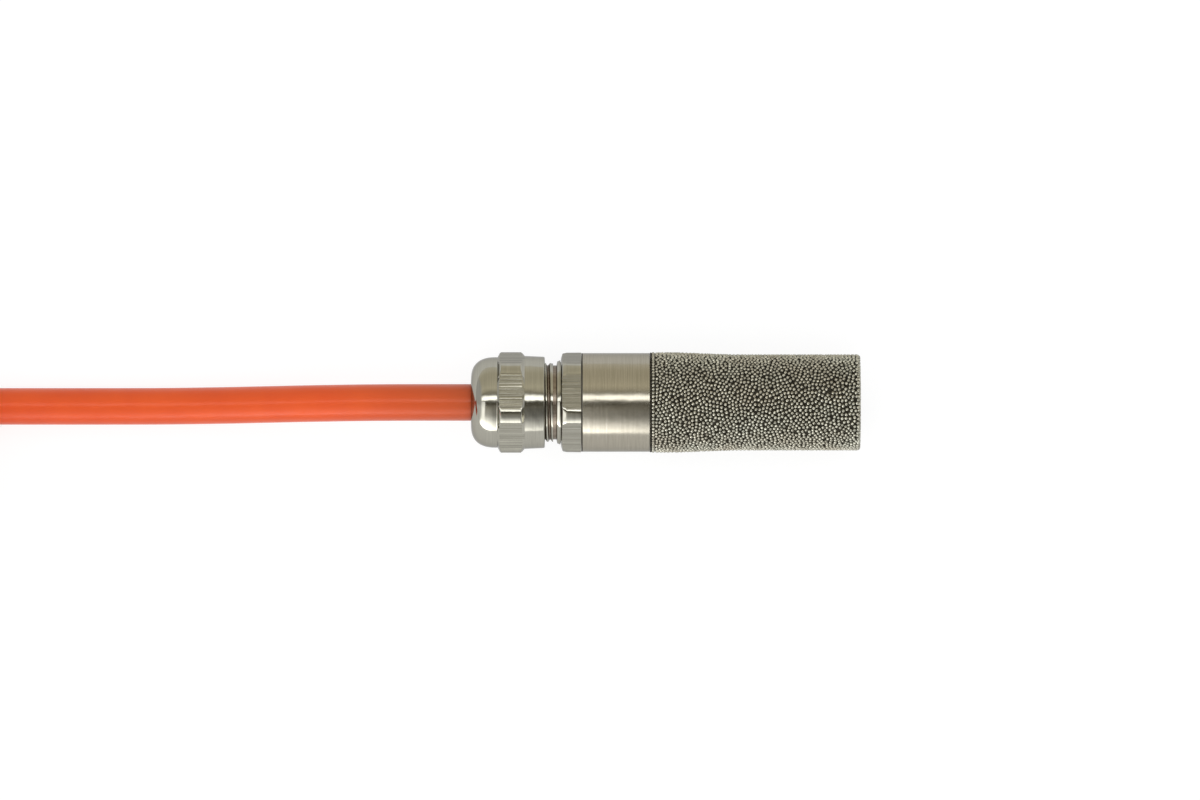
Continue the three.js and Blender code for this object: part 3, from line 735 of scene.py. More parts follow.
# Nickel plate on a milled hexagon: the same lines, shallower
MILLED_NICKEL = WorkedMetal("nickel_plate_milled", "#A6A499", "#88867B", 0.14, 0.2, (16.0, 0.15, 0.15), 0.017)
# Nickel plate in the roots of a thread, thin and grimy
THREAD_ROOT = WorkedMetal("nickel_plate_thread_root", "#8C8276", "#776C60", 0.24, 0.34, (6.0, 0.3, 0.3), 0.004)
# Stainless steel, brushed round and round: its reflections blur along the sleeve and stay sharp round it. The
# brush's lines are drawn about twice as coarse as the real ones, so that they show
BRUSHED_STEEL = WorkedMetal(
    "stainless_steel_brushed", "#A9A497", "#9B9688", 0.21, 0.27, (0.1, 5.0, 5.0), 0.0014, 0.02, 0.85, True
)
# Sintered bronze powder, nickelled: pale round grains
SINTERED_BEADS = SinteredMetal("sintered_bead_nickelled", "#D2D1C2", "#8E8E82", "#99866F", 0.3, 0.55)
# The depth between the grains, coloured dark as painted shade, since hardly any light gets in there
SINTERED_DEPTH = SinteredMetal("sintered_bead_depth", "#4E4B42", "#27251F", "#383024", 0.7, 0.4)
# Polyurethane cable sheath, extruded: an even orange with a soft shine and faint lines from the die, with painted
# shade darkening it towards the gland, where the dome nut shades it
ORANGE_SHEATH = Polymer(
    "polyurethane_sheath_extruded",
    "#F25A12",
    "#EB530D",
    0.35,
    (2.4, 0.35, 0.35),
    0.006,
    shine=0.52,
    # Painted shade: the sheath darkens towards the gland, for the shade that the dome nut casts on it
    painted_shade="#CE5219",
    painted_shade_stations=(-48.0, -29.0),
)
# Nitrile rubber, moulded: dull and nearly black
BLACK_RUBBER = Polymer("nitrile_rubber_moulded", "#1D1D1D", "#151515", 0.62, (0.3, 0.3, 0.3), 0.006)
# The same rubber where it is pinched and dusty
GREY_RUBBER = Polymer("nitrile_rubber_pinched", "#4A463B", "#38352C", 0.7, (0.3, 0.3, 0.3), 0.004)
# Polyamide, moulded black: satin
BLACK_NYLON = Polymer("polyamide_moulded_black", "#1F1F20", "#17171A", 0.42, (0.4, 0.4, 0.4), 0.004)
# Polyamide, moulded grey: satin
GREY_NYLON = Polymer("polyamide_moulded_grey", "#8F9296", "#84878B", 0.42, (0.4, 0.4, 0.4), 0.004)
# Polyamide, moulded undyed: creamy white
WHITE_NYLON = Polymer("polyamide_moulded_white", "#E5E2D9", "#DAD6CB", 0.4, (0.4, 0.4, 0.4), 0.004)
# Epoxy, cast: black with a glossy skin
POTTING = Polymer("epoxy_cast_black", "#1C1C1A", "#141413", 0.25, (1.5, 1.5, 1.5), 0.003, 0.3)
# Glass epoxy board under green solder mask: the weave just shows
BOARD = Polymer("glass_epoxy_masked_green", "#24633D", "#1B5231", 0.3, (0.5, 0.5, 4.0), 0.003, 0.25)
# Epoxy chip case, moulded with a matt mould
CHIP = Polymer("epoxy_moulded_matt", "#26272A", "#1E1F22", 0.55, (0.12, 0.12, 0.12), 0.004)
# Barium titanate ceramic, fired: tan and slightly grainy
CERAMIC = Polymer("titanate_ceramic_fired", "#B58F61", "#A68154", 0.45, (0.1, 0.1, 0.1), 0.002)
# Tin solder, flowed: bright with a soft crystalline skin
SOLDER = WorkedMetal("tin_solder_flowed", "#D9DADB", "#C3C5C7", 0.2, 0.34, (0.2, 0.2, 0.2), 0.003)
# Core insulation, extruded polyvinyl chloride in four colours: a soft shine and faint lines along it
INSULATION = {
    wire: Polymer(f"pvc_insulation_{wire.value[0]}", light, dark, 0.38, (2.0, 0.3, 0.3), 0.003)
    for wire, light, dark in (
        (Wire.RED, "#B42A21", "#A3231B"),
        (Wire.BLACK, "#1C1C1E", "#151517"),
        (Wire.YELLOW, "#DBB422", "#CDA61B"),
        (Wire.GREEN, "#2F7E42", "#276F38"),
    )
}

# Materials that are made already, by name
MADE: dict[str, bpy.types.Material] = {}


def dress(piece: bpy.types.Object, *finishes: Finish) -> bpy.types.Object:
    """Give a piece its materials, each made once.

    Args:
        piece: A new piece or a CAD node's object.
        finishes: The finishes for its material slots, in order.

    Returns:
        The piece.
    """
    for number, finish in enumerate(finishes):
        if finish.name not in MADE:
            MADE[finish.name] = finish.material()
        if number < len(piece.material_slots):
            piece.material_slots[number].link = "OBJECT"
            piece.material_slots[number].material = MADE[finish.name]
        else:
            piece.data.materials.append(MADE[finish.name])
    return piece


def dress_nodes(finish: Finish, *nodes: str) -> None:
    """Give CAD nodes, whose shapes stay, one finish.

    Args:
        finish: The finish.
        nodes: Names of the nodes.
    """
    for node in nodes:
        dress(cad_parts[node], finish)
        LOG.info("%s keeps its shape and takes %s", node, finish.name)


# Studio


@dataclass(frozen=True)
class Studio:
    """Camera, light and floor, at the photograph's angle.

    Attributes:
        aim: Point that the camera looks at, in metres.
        elevation: Height of the camera over the horizon, in degrees.
        distance: From the camera to that point, in metres. It is far off, because the photograph has hardly any
            perspective.
        lens: Focal length, in millimetres.
        tent: Radius of the light tent that the metal mirrors, in metres.
        bands: Angle round the probe in degrees, from the horizon in front over the top to the horizon behind, with
            the tent's brightness there and how warm it is: a low soft box, a dark gap, a strip overhead and a
            wall.
        warm: Colour of the warm cloth.
        box_side: Places across the tent, as shares of its radius, and the soft box's brightness there. The box
            stands to the cable's side.
        box_top: Angles in degrees between which the soft box ends.
        card: Places between which a white card beside the cable starts, as shares of the tent's radius.
        card_top: Angles in degrees between which that card ends.
        card_level: Brightness of the card.
        ends: Brightness of the tent at the probe's two ends.
        ends_start: Places between which those ends start, as shares of the tent's radius.
        brightest: Level that the bands are shares of.
        even: Brightness of the room for matt surfaces.
        fill: Power of the soft lamp overhead, in watts.
        fill_place: Where that lamp hangs, in metres.
        fill_size: Width of that lamp, in metres.
        floor_size: Half the floor's width, in metres.
        floor_pale: Colour of the floor as the room's light meets it.
        floor_shade: Colour that the shadows take from it in the picture.
        floor_glow: Brightness that lifts it to white in the picture.
        tent_rings: Rings of points in the tent.
        tent_spokes: Points in each ring.
    """

    aim: tuple[float, float, float] = (-0.00926, 0.00035, 0.00713)
    elevation: float = 76.6
    distance: float = 1.888
    lens: float = 400.0
    tent: float = 2.3
    bands: tuple[tuple[float, float, float], ...] = (
        (0.0, 4.3, 0.0),
        (6.0, 4.2, 0.0),
        (12.0, 3.15, 0.0),
        (22.0, 2.2, 0.0),
        (30.0, 1.37, 0.0),
        (38.0, 0.85, 0.1),
        (45.0, 0.61, 0.2),
        (57.0, 0.52, 0.4),
        (64.0, 0.38, 0.7),
        (70.0, 0.16, 1.0),
        (77.0, 0.14, 1.0),
        (81.5, 0.4, 0.5),
        (82.5, 3.65, 0.0),
        (90.5, 3.65, 0.0),
        (93.5, 2.05, 0.0),
        (97.0, 0.48, 0.6),
        (102.0, 0.48, 1.0),
        (106.0, 0.71, 1.0),
        (116.0, 0.91, 1.0),
        (124.0, 0.83, 1.0),
        (140.0, 0.75, 1.0),
        (156.0, 0.76, 1.0),
        (168.0, 0.85, 0.8),
        (180.0, 0.93, 0.5),
    )
    warm: str = "#FFF7E0"
    box_side: tuple[tuple[float, float], tuple[float, float]] = ((-0.3, 1.4), (0.2, 0.38))
    box_top: tuple[float, float] = (60.0, 70.0)
    card: tuple[float, float] = (-0.56, -0.5)
    card_top: tuple[float, float] = (76.0, 80.0)
    card_level: float = 1.8
    ends: float = 0.7
    ends_start: tuple[float, float] = (0.68, 0.8)
    brightest: float = 5.25
    even: float = 0.68
    fill: float = 1.3
    fill_place: tuple[float, float, float] = (-0.12, -0.44, 0.5)
    fill_size: float = 0.6
    floor_size: float = 2.6
    floor_pale: str = "#E6E4DF"
    floor_shade: str = "#8A8A8A"
    floor_glow: float = 0.84
    tent_rings: int = 16
    tent_spokes: int = 48

    def camera(self) -> None:
        """Set the camera."""
        data = bpy.data.cameras.new("camera")
        data.lens = self.lens
        camera = bpy.data.objects.new("camera", data)
        rise = math.radians(self.elevation)
        away = Vector((0, -math.cos(rise), math.sin(rise)))
        camera.location = Vector(self.aim) + away * self.distance
        camera.rotation_euler = (-away).to_track_quat("-Z", "Y").to_euler()
        bpy.context.scene.collection.objects.link(camera)
        bpy.context.scene.camera = camera

    def background_rays(self, tree: bpy.types.NodeTree) -> bpy.types.NodeSocket:
        """Pick the rays that see the white background: the camera's, and those that metal or glass sends on.

        Args:
            tree: The node tree.

        Returns:
            A mask, 1 for those rays.
        """
        path = add_node(tree, "ShaderNodeLightPath")
        sent_on = maths(tree, "MAXIMUM", path.outputs["Is Glossy Ray"], path.outputs["Is Transmission Ray"])
        return maths(tree, "MAXIMUM", path.outputs["Is Camera Ray"], sent_on)

    def room(self) -> None:
        """Set the room: an even light for matt surfaces, and white as a background."""
        world = bpy.data.worlds.new("room")
        world.use_nodes = True
        tree = world.node_tree
        tree.nodes.clear()
        even = add_node(tree, "ShaderNodeBackground", {"Color": linear("#FFFFFF"), "Strength": self.even})
        white = add_node(tree, "ShaderNodeBackground", {"Color": linear("#FFFFFF"), "Strength": 1.0})
        seen = add_node(
            tree,
            "ShaderNodeMixShader",
            links={0: self.background_rays(tree), 1: even.outputs["Background"], 2: white.outputs["Background"]},
        )
        output = add_node(tree, "ShaderNodeOutputWorld")
        tree.links.new(seen.outputs["Shader"], output.inputs["Surface"])
        bpy.context.scene.world = world

    def grey(self, level: float) -> tuple[float, float, float, float]:
        """A brightness of the tent as a share of the brightest level."""
        return (*[level / self.brightest] * 3, 1.0)

    def tent_light(self) -> bpy.types.Material:
        """Build the glowing cloth of the light tent, whose brightness follows the bands.

        Returns:
            The material.
        """
        material, tree, output = new_material("tent_cloth_glowing")
        where = add_node(tree, "ShaderNodeTexCoord")
        parts = add_node(tree, "ShaderNodeSeparateXYZ", links={"Vector": where.outputs["Object"]})
        along = parts.outputs["X"]
        front = maths(tree, "MULTIPLY", parts.outputs["Y"], -1.0)
        # Angle round the probe, as a share of half a turn
        angle = maths(tree, "DIVIDE", maths(tree, "ARCTAN2", parts.outputs["Z"], front), math.pi)
        ramp = add_node(tree, "ShaderNodeValToRGB", links={"Fac": angle})
        stops = ramp.color_ramp.elements
        while len(stops) < len(self.bands):
            stops.new(0.5)
        # All stops are in their places before they are coloured, because one that passes another takes its number
        for stop, (degrees, _, _) in zip(stops, self.bands):
            stop.position = degrees / 180
        warm = linear(self.warm)
        for stop, (_, level, warmth) in zip(stops, self.bands):
            stop.color = (*[level / self.brightest * (1 + (part - 1) * warmth) for part in warm[:3]], 1.0)
        beside = mapped(tree, along, [place * self.tent for place in reversed(self.card)])
        below = mapped(tree, angle, [degrees / 180 for degrees in reversed(self.card_top)])
        on_card = maths(tree, "MULTIPLY", beside, below)
        cloth = tinted(tree, on_card, ramp.outputs["Color"], self.grey(self.card_level), "LIGHTEN")
        end = mapped(tree, maths(tree, "ABSOLUTE", along), [place * self.tent for place in self.ends_start])
        colour = tinted(tree, end, cloth, self.grey(self.ends))
        (near, bright), (far, dim) = self.box_side
        levels = (bright * self.brightest, dim * self.brightest)
        box = mapped(tree, along, (near * self.tent, far * self.tent), levels)
        above_box = mapped(tree, angle, [degrees / 180 for degrees in self.box_top])
        settings = {"data_type": "FLOAT", 3: self.brightest}
        strength = add_node(tree, "ShaderNodeMix", settings, {0: above_box, 2: box})
        glow = add_node(tree, "ShaderNodeEmission", links={"Color": colour, "Strength": strength.outputs[0]})
        tree.links.new(glow.outputs["Emission"], output.inputs["Surface"])
        material.cycles.emission_sampling = "NONE"
        return material

    def light_tent(self) -> None:
        """Pitch the tent, which only mirrored rays meet."""
        rings, spokes = self.tent_rings, self.tent_spokes
        points = []
        for ring in range(rings):
            rise = math.pi / 2 * ring / rings
            for spoke in range(spokes):
                turn = FULL_TURN * spoke / spokes
                across = Vector((math.cos(turn), math.sin(turn), 0)) * math.cos(rise)
                points.append((across + Vector((0, 0, math.sin(rise)))) * self.tent)
        top = ring_cap((rings - 1) * spokes, spokes)
        tent = finished("light_tent", points, [*ring_faces(0, rings, spokes), top])
        tent.data.materials.append(self.tent_light())
        tent.visible_camera = tent.visible_diffuse = tent.visible_shadow = tent.visible_transmission = False

    def lamp(self) -> None:
        """Hang one soft lamp overhead that fills the matt surfaces and stays out of the metal's reflections."""
        data = bpy.data.lights.new("fill", "AREA")
        data.shape = "SQUARE"
        data.size = self.fill_size
        data.energy = self.fill
        lamp = bpy.data.objects.new("fill", data)
        lamp.location = self.fill_place
        lamp.rotation_euler = (-lamp.location).to_track_quat("-Z", "Y").to_euler()
        lamp.visible_glossy = False
        bpy.context.scene.collection.objects.link(lamp)

    def floor(self) -> None:
        """Lay a pale floor that reads white as a background and keeps the object's shadow."""
        half = self.floor_size
        corners = [Vector((x * half, y * half, 0)) for x, y in ((-1, -1), (1, -1), (1, 1), (-1, 1))]
        floor = finished("floor", corners, [(0, 1, 2, 3)])
        material, tree, output = new_material("pale_floor")
        pale = add_node(tree, "ShaderNodeBsdfDiffuse", {"Color": linear(self.floor_pale)})
        shade = add_node(tree, "ShaderNodeBsdfDiffuse", {"Color": linear(self.floor_shade)})
        glow = add_node(tree, "ShaderNodeEmission", {"Color": linear("#FFFFFF"), "Strength": self.floor_glow})
        white = add_node(tree, "ShaderNodeAddShader", links={0: shade.outputs["BSDF"], 1: glow.outputs["Emission"]})
        seen = add_node(
            tree,
            "ShaderNodeMixShader",
            links={0: self.background_rays(tree), 1: pale.outputs["BSDF"], 2: white.outputs["Shader"]},
        )
        tree.links.new(seen.outputs["Shader"], output.inputs["Surface"])
        floor.data.materials.append(material)

    def build(self) -> None:
        """Set up the whole studio."""
        self.camera()
        self.room()
        self.light_tent()
        self.lamp()
        self.floor()
        bpy.context.scene.view_settings.view_transform = "Standard"
        LOG.info("studio is set")


# Cable


@dataclass(frozen=True)
class Cable:
    """One metre of orange four-core cable: a free stretch, a tied hank and four bare leads.

    Attributes:
        radius: Radius of the sheath.
        sheath: Thickness of the sheath.
        inlet: Start of the sheath that shows, inside the dome nut's mouth.
        gap: Between the free stretch's end and the hank's first point in the solids.
        entry: Straight length before the hank's first fold.
        fold: Radius of the hank's folds.
        run_length: Length of a run between folds.
        straight_end: Length of a run's straight ends.
        layer: Height of one layer.
        turns: Turns in the hank, one on each layer.
        drawn_in: How far the tie draws the runs together at the waist.
        lift: How far the waist rises, because the tie passes under it.
        tie_width: Width of the tie.
        tie_margin: Straight cable past each side of the tie.
        cut_end: Stations past the cut end and radii there, from the sheath's edge into the hole for the cores.
        sides: Sides of the sheath.
        steps: Steps in each run and fold.
        free_steps: Steps between two points of the free stretch.
        free_route: Centre line of the free stretch, in metres.
    """

    radius: float = 2.6
    sheath: float = 0.6
    inlet: float = -26.2
    gap: float = 0.3
    entry: float = 18.5
    fold: float = 15.8
    run_length: float = 66.8
    straight_end: float = 5.4
    layer: float = 5.8
    turns: int = 4
    drawn_in: float = 6.5
    lift: float = 1.35
    tie_width: float = 3.2
    tie_margin: float = 0.8
    cut_end: tuple[tuple[float, float], ...] = ((0.08, 2.48), (0.1, 2.08), (-0.1, 2.0), (-1.2, 2.0))
    sides: int = 28
    steps: int = 44
    free_steps: int = 4
    free_route: tuple[tuple[float, float, float], ...] = (
        (-0.02781, 0.0, 0.00713),
        (-0.0304, 0.0, 0.00713),
        (-0.033, 0.0, 0.00713),
        (-0.036, 0.00001, 0.00708),
        (-0.04, 0.00004, 0.00688),
        (-0.044, 0.00009, 0.0065),
        (-0.048, 0.00015, 0.00598),
        (-0.052, 0.00022, 0.00536),
        (-0.056, 0.00029, 0.00469),
        (-0.06, 0.00035, 0.00404),
        (-0.064, 0.00041, 0.00347),
        (-0.068, 0.00045, 0.00303),
        (-0.072, 0.00048, 0.00275),
        (-0.076, 0.0005, 0.00262),
        (-0.08, 0.0005, 0.0026),
        (-0.086, 0.0005, 0.0026),
        (-0.092, 0.0005, 0.0026),
        (-0.098, 0.0005, 0.0026),
    )

    @property
    def hank_start(self) -> Vector:
        """First point of the hank."""
        return Vector(self.free_route[-1]) / MM - Vector((self.gap, 0, 0))

    @property
    def right(self) -> float:
        """Station where the runs meet the near folds."""
        return self.hank_start.x - self.entry

    @property
    def left(self) -> float:
        """Station where the runs meet the far folds."""
        return self.right - self.run_length

    @property
    def middle(self) -> float:
        """Middle of the hank across the probe's axis."""
        return self.hank_start.y - self.fold

    def waist(self, share: float) -> float:
        """Tell how far a run is drawn in and lifted.

        Args:
            share: Place on the run, from 0 to 1.

        Returns:
            0 at the run's straight ends, 1 where it is tied.
        """
        straight = self.straight_end / self.run_length
        tied = 1 / 2 - (self.tie_width / 2 + self.tie_margin) / self.run_length
        rise = clamp((min(share, 1 - share) - straight) / (tied - straight))
        return (1 - math.cos(math.pi * rise)) / 2

    def on_run(self, turn: int, side: int, share: float) -> Vector:
        """Find a point on a run.

        Args:
            turn: Number of the turn.
            side: 1 for the run that goes out, -1 for the one that comes back.
            share: Place on the run, from 0 to 1.

        Returns:
            The point, in millimetres.
        """
        drawn = self.waist(share)
        x = self.right - self.run_length * share if side > 0 else self.left + self.run_length * share
        y = self.middle + side * (self.fold - self.drawn_in * drawn)
        return Vector((x, y, self.radius + turn * self.layer + self.lift * drawn))

    def on_far_fold(self, turn: int, share: float) -> Vector:
        """Find a point on a far fold.

        Args:
            turn: Number of the turn.
            share: Place on the fold, from 0 to 1.

        Returns:
            The point, in millimetres.
        """
        angle = math.pi * share
        x = self.left - self.fold * math.sin(angle)
        return Vector((x, self.middle + self.fold * math.cos(angle), self.radius + turn * self.layer))

    def on_near_fold(self, turn: int, share: float) -> Vector:
        """Find a point on a near fold, where the cable climbs onto the layer that it has laid.

        Args:
            turn: Number of the turn.
            share: Place on the fold, from 0 to 1.

        Returns:
            The point, in millimetres.
        """
        angle = math.pi * share
        climbed = turn + smoothstep(share, 0, 1)
        x = self.right + self.fold * math.sin(angle)
        return Vector((x, self.middle - self.fold * math.cos(angle), self.radius + climbed * self.layer))

    def hank_route(self) -> list[Vector]:
        """Lay the hank.

        Returns:
            Its centre line, in millimetres.
        """
        shares = [i / self.steps for i in range(self.steps)]
        route = [self.hank_start]
        for turn in range(self.turns):
            route += [self.on_run(turn, 1, share) for share in shares]
            route += [self.on_far_fold(turn, share) for share in shares]
            route += [self.on_run(turn, -1, share) for share in shares]
            if turn < self.turns - 1:
                route += [self.on_near_fold(turn, share) for share in shares]
        return [*route, self.on_run(self.turns - 1, -1, 1.0)]

    def route(self) -> list[Vector]:
        """Lay the whole cable, from inside the dome nut's mouth to its cut end.

        Returns:
            Its centre line, in metres.
        """
        inlet = Vector((self.inlet, 0, AXIS)) * MM
        free = smooth_path([Vector(point) for point in self.free_route], self.free_steps)
        return [inlet, *free, *[point * MM for point in self.hank_route()]]

    def build(self, pieces: list[bpy.types.Object]) -> bpy.types.Object:
        """Args:
            pieces: Not used.

        Returns:
            The cable.
        """
        path = self.route()
        cable = tube("cable_sheath", path, self.radius, self.sides, self.cut_end)
        place(dress(cable, ORANGE_SHEATH), Body.GLAND, "orange_sheath", "cable_free", "cable_hank")
        return cable


@dataclass(frozen=True)
class HankTie:
    """A black strap round the hank's waist, with its head on top and its cut tail.

    Attributes:
        cable: The cable that it holds.
        width: Width of the strap.
        thickness: Thickness of the strap.
        play: Between the strap and the cable.
        head: Length, width and height of the head.
        head_edge: Rounding of the head's edges.
        pawl: Length, width and height of the pawl, which shows as a low step on top of the head.
        pawl_edge: Rounding of the pawl's edges.
        pawl_back: How far the pawl lies behind the head's middle.
        pawl_room: How much of the head's height is the pawl's alone.
        tail: Length of the cut tail past the head.
        tail_lap: How far the tail reaches into the head.
        tail_lift: Between the strap and the tail over it.
        tail_width: Width of the toothed strip on the tail, as a share of the strap's.
        tooth: Pitch of the ratchet teeth on the tail.
        tooth_heights: Thickness of the tail between its teeth and at their tips.
        edge: Width of the strap's chamfers.
    """

    cable: Cable
    width: float = 3.2
    thickness: float = 0.9
    play: float = 0.1
    head: tuple[float, float, float] = (5.4, 5.0, 3.2)
    head_edge: float = 0.5
    pawl: tuple[float, float, float] = (2.43, 2.5, 0.5)
    pawl_edge: float = 0.15
    pawl_back: float = 0.6
    pawl_room: float = 0.3
    tail: float = 3.0
    tail_lap: float = 0.4
    tail_lift: float = 0.35
    tail_width: float = 0.84
    tooth: float = 0.5
    tooth_heights: tuple[float, float] = (0.55, 0.85)
    edge: float = 0.2

    @property
    def x(self) -> float:
        """Station of the tie, at the middle of the runs."""
        return (self.cable.right + self.cable.left) / 2

    @property
    def top(self) -> float:
        """Height of the strap's inside over the top layer."""
        cable = self.cable
        return 2 * cable.radius + cable.lift + (cable.turns - 1) * cable.layer + self.play

    def loop(self) -> list[tuple[Vector, Vector]]:
        """Run the strap round the hank's waist.

        Returns:
            Points on the strap's inside, in millimetres, with their outward directions.
        """
        cable = self.cable
        corner = cable.radius + self.play
        half = cable.fold - cable.drawn_in + corner
        low, high = cable.lift - self.play + corner, self.top - corner
        steps = 10
        line = []
        for side, z, start in ((1, low, -90), (1, high, 0), (-1, high, 90), (-1, low, 180)):
            for step in range(steps + 1):
                angle = math.radians(start + 90 * step / steps)
                out = Vector((0, math.cos(angle), math.sin(angle)))
                centre = Vector((self.x, cable.middle + side * (half - corner), z))
                line.append((centre + out * corner, out))
        return line

    def strap(self) -> bpy.types.Object:
        """Make the strap, a band with chamfered edges.

        Returns:
            The strap.
        """
        half, thick, edge = self.width / 2, self.thickness, self.edge
        section = [
            (-half + edge, 0.0),
            (half - edge, 0.0),
            (half, edge),
            (half, thick - edge),
            (half - edge, thick),
            (-half + edge, thick),
            (-half, thick - edge),
            (-half, edge),
        ]
        line = self.loop()
        points = [(at + Vector((across, 0, 0)) + out * up) * MM for at, out in line for across, up in section]
        return finished("tie_strap", points, ring_faces(0, len(line), len(section), closed=True))

    def block(self, name: str, size: Sequence[float], centre: Vector, edge: float) -> bpy.types.Object:
        """Make a block with rounded edges.

        Args:
            name: Name of the new object.
            size: Its size along X, Y and Z, in millimetres.
            centre: Its middle, in millimetres.
            edge: Rounding of its edges, in millimetres.

        Returns:
            The block.
        """
        piece = finished(name, [], [])
        work = bmesh.new()
        bmesh.ops.create_cube(work, size=1.0)
        for vert in work.verts:
            vert.co = Vector((vert.co.x * size[0], vert.co.y * size[1], vert.co.z * size[2]))
        bmesh.ops.bevel(work, geom=list(work.edges), offset=edge, segments=3, profile=0.5, affect="EDGES")
        for vert in work.verts:
            vert.co = (vert.co + centre) * MM
        work.to_mesh(piece.data)
        work.free()
        piece.data.shade_smooth()
        piece.data.set_sharp_from_angle(angle=math.radians(40))
        return piece

    def ratchet(self) -> bpy.types.Object:
        """Make the tail, with ratchet teeth on its upper side.

        Returns:
            The tail.
        """
        start = self.cable.middle + self.head[1] / 2 - self.tail_lap
        base = self.top + self.thickness + self.tail_lift
        count = round((self.tail + self.tail_lap) / self.tooth)
        low, high = self.tooth_heights
        # How far the steep side of a tooth leans
        lean = 0.02
        profile = [(start, base), (start + count * self.tooth, base)]
        for tooth in range(count, 0, -1):
            profile.append((start + tooth * self.tooth, base + low))
            profile.append((start + (tooth - 1) * self.tooth + lean, base + high))
        points = []
        for side in (-1, 1):
            points += [Vector((self.x + side * self.width * self.tail_width / 2, y, z)) * MM for y, z in profile]
        size = len(profile)
        faces = [ring_cap(0, size), ring_cap(size, size), *ring_faces(0, 2, size)]
        return finished("tie_tail", points, faces, 25)

    def build(self) -> list[bpy.types.Object]:
        """Make the tie.

        Returns:
            Its strap, its head with the pawl's window, and its tail.
        """
        length, width, height = self.head
        x, y, bottom = self.x, self.cable.middle, self.top + self.thickness / 2
        size = (length, width, height - self.pawl_room)
        head = self.block("tie_head", size, Vector((x, y, bottom + height / 2)), self.head_edge)
        above = Vector((x, y - self.pawl_back, bottom + height - self.pawl[2] / 2))
        pawl = self.block("tie_pawl", self.pawl, above, self.pawl_edge)
        strap = self.strap()
        tail = self.ratchet()
        place(dress(strap, BLACK_NYLON), Body.GLAND, "black_nylon", "hank_tie")
        for piece in (head, pawl, tail):
            place(dress(piece, BLACK_NYLON), Body.GLAND, "black_nylon")
        return [strap, head, pawl, tail]


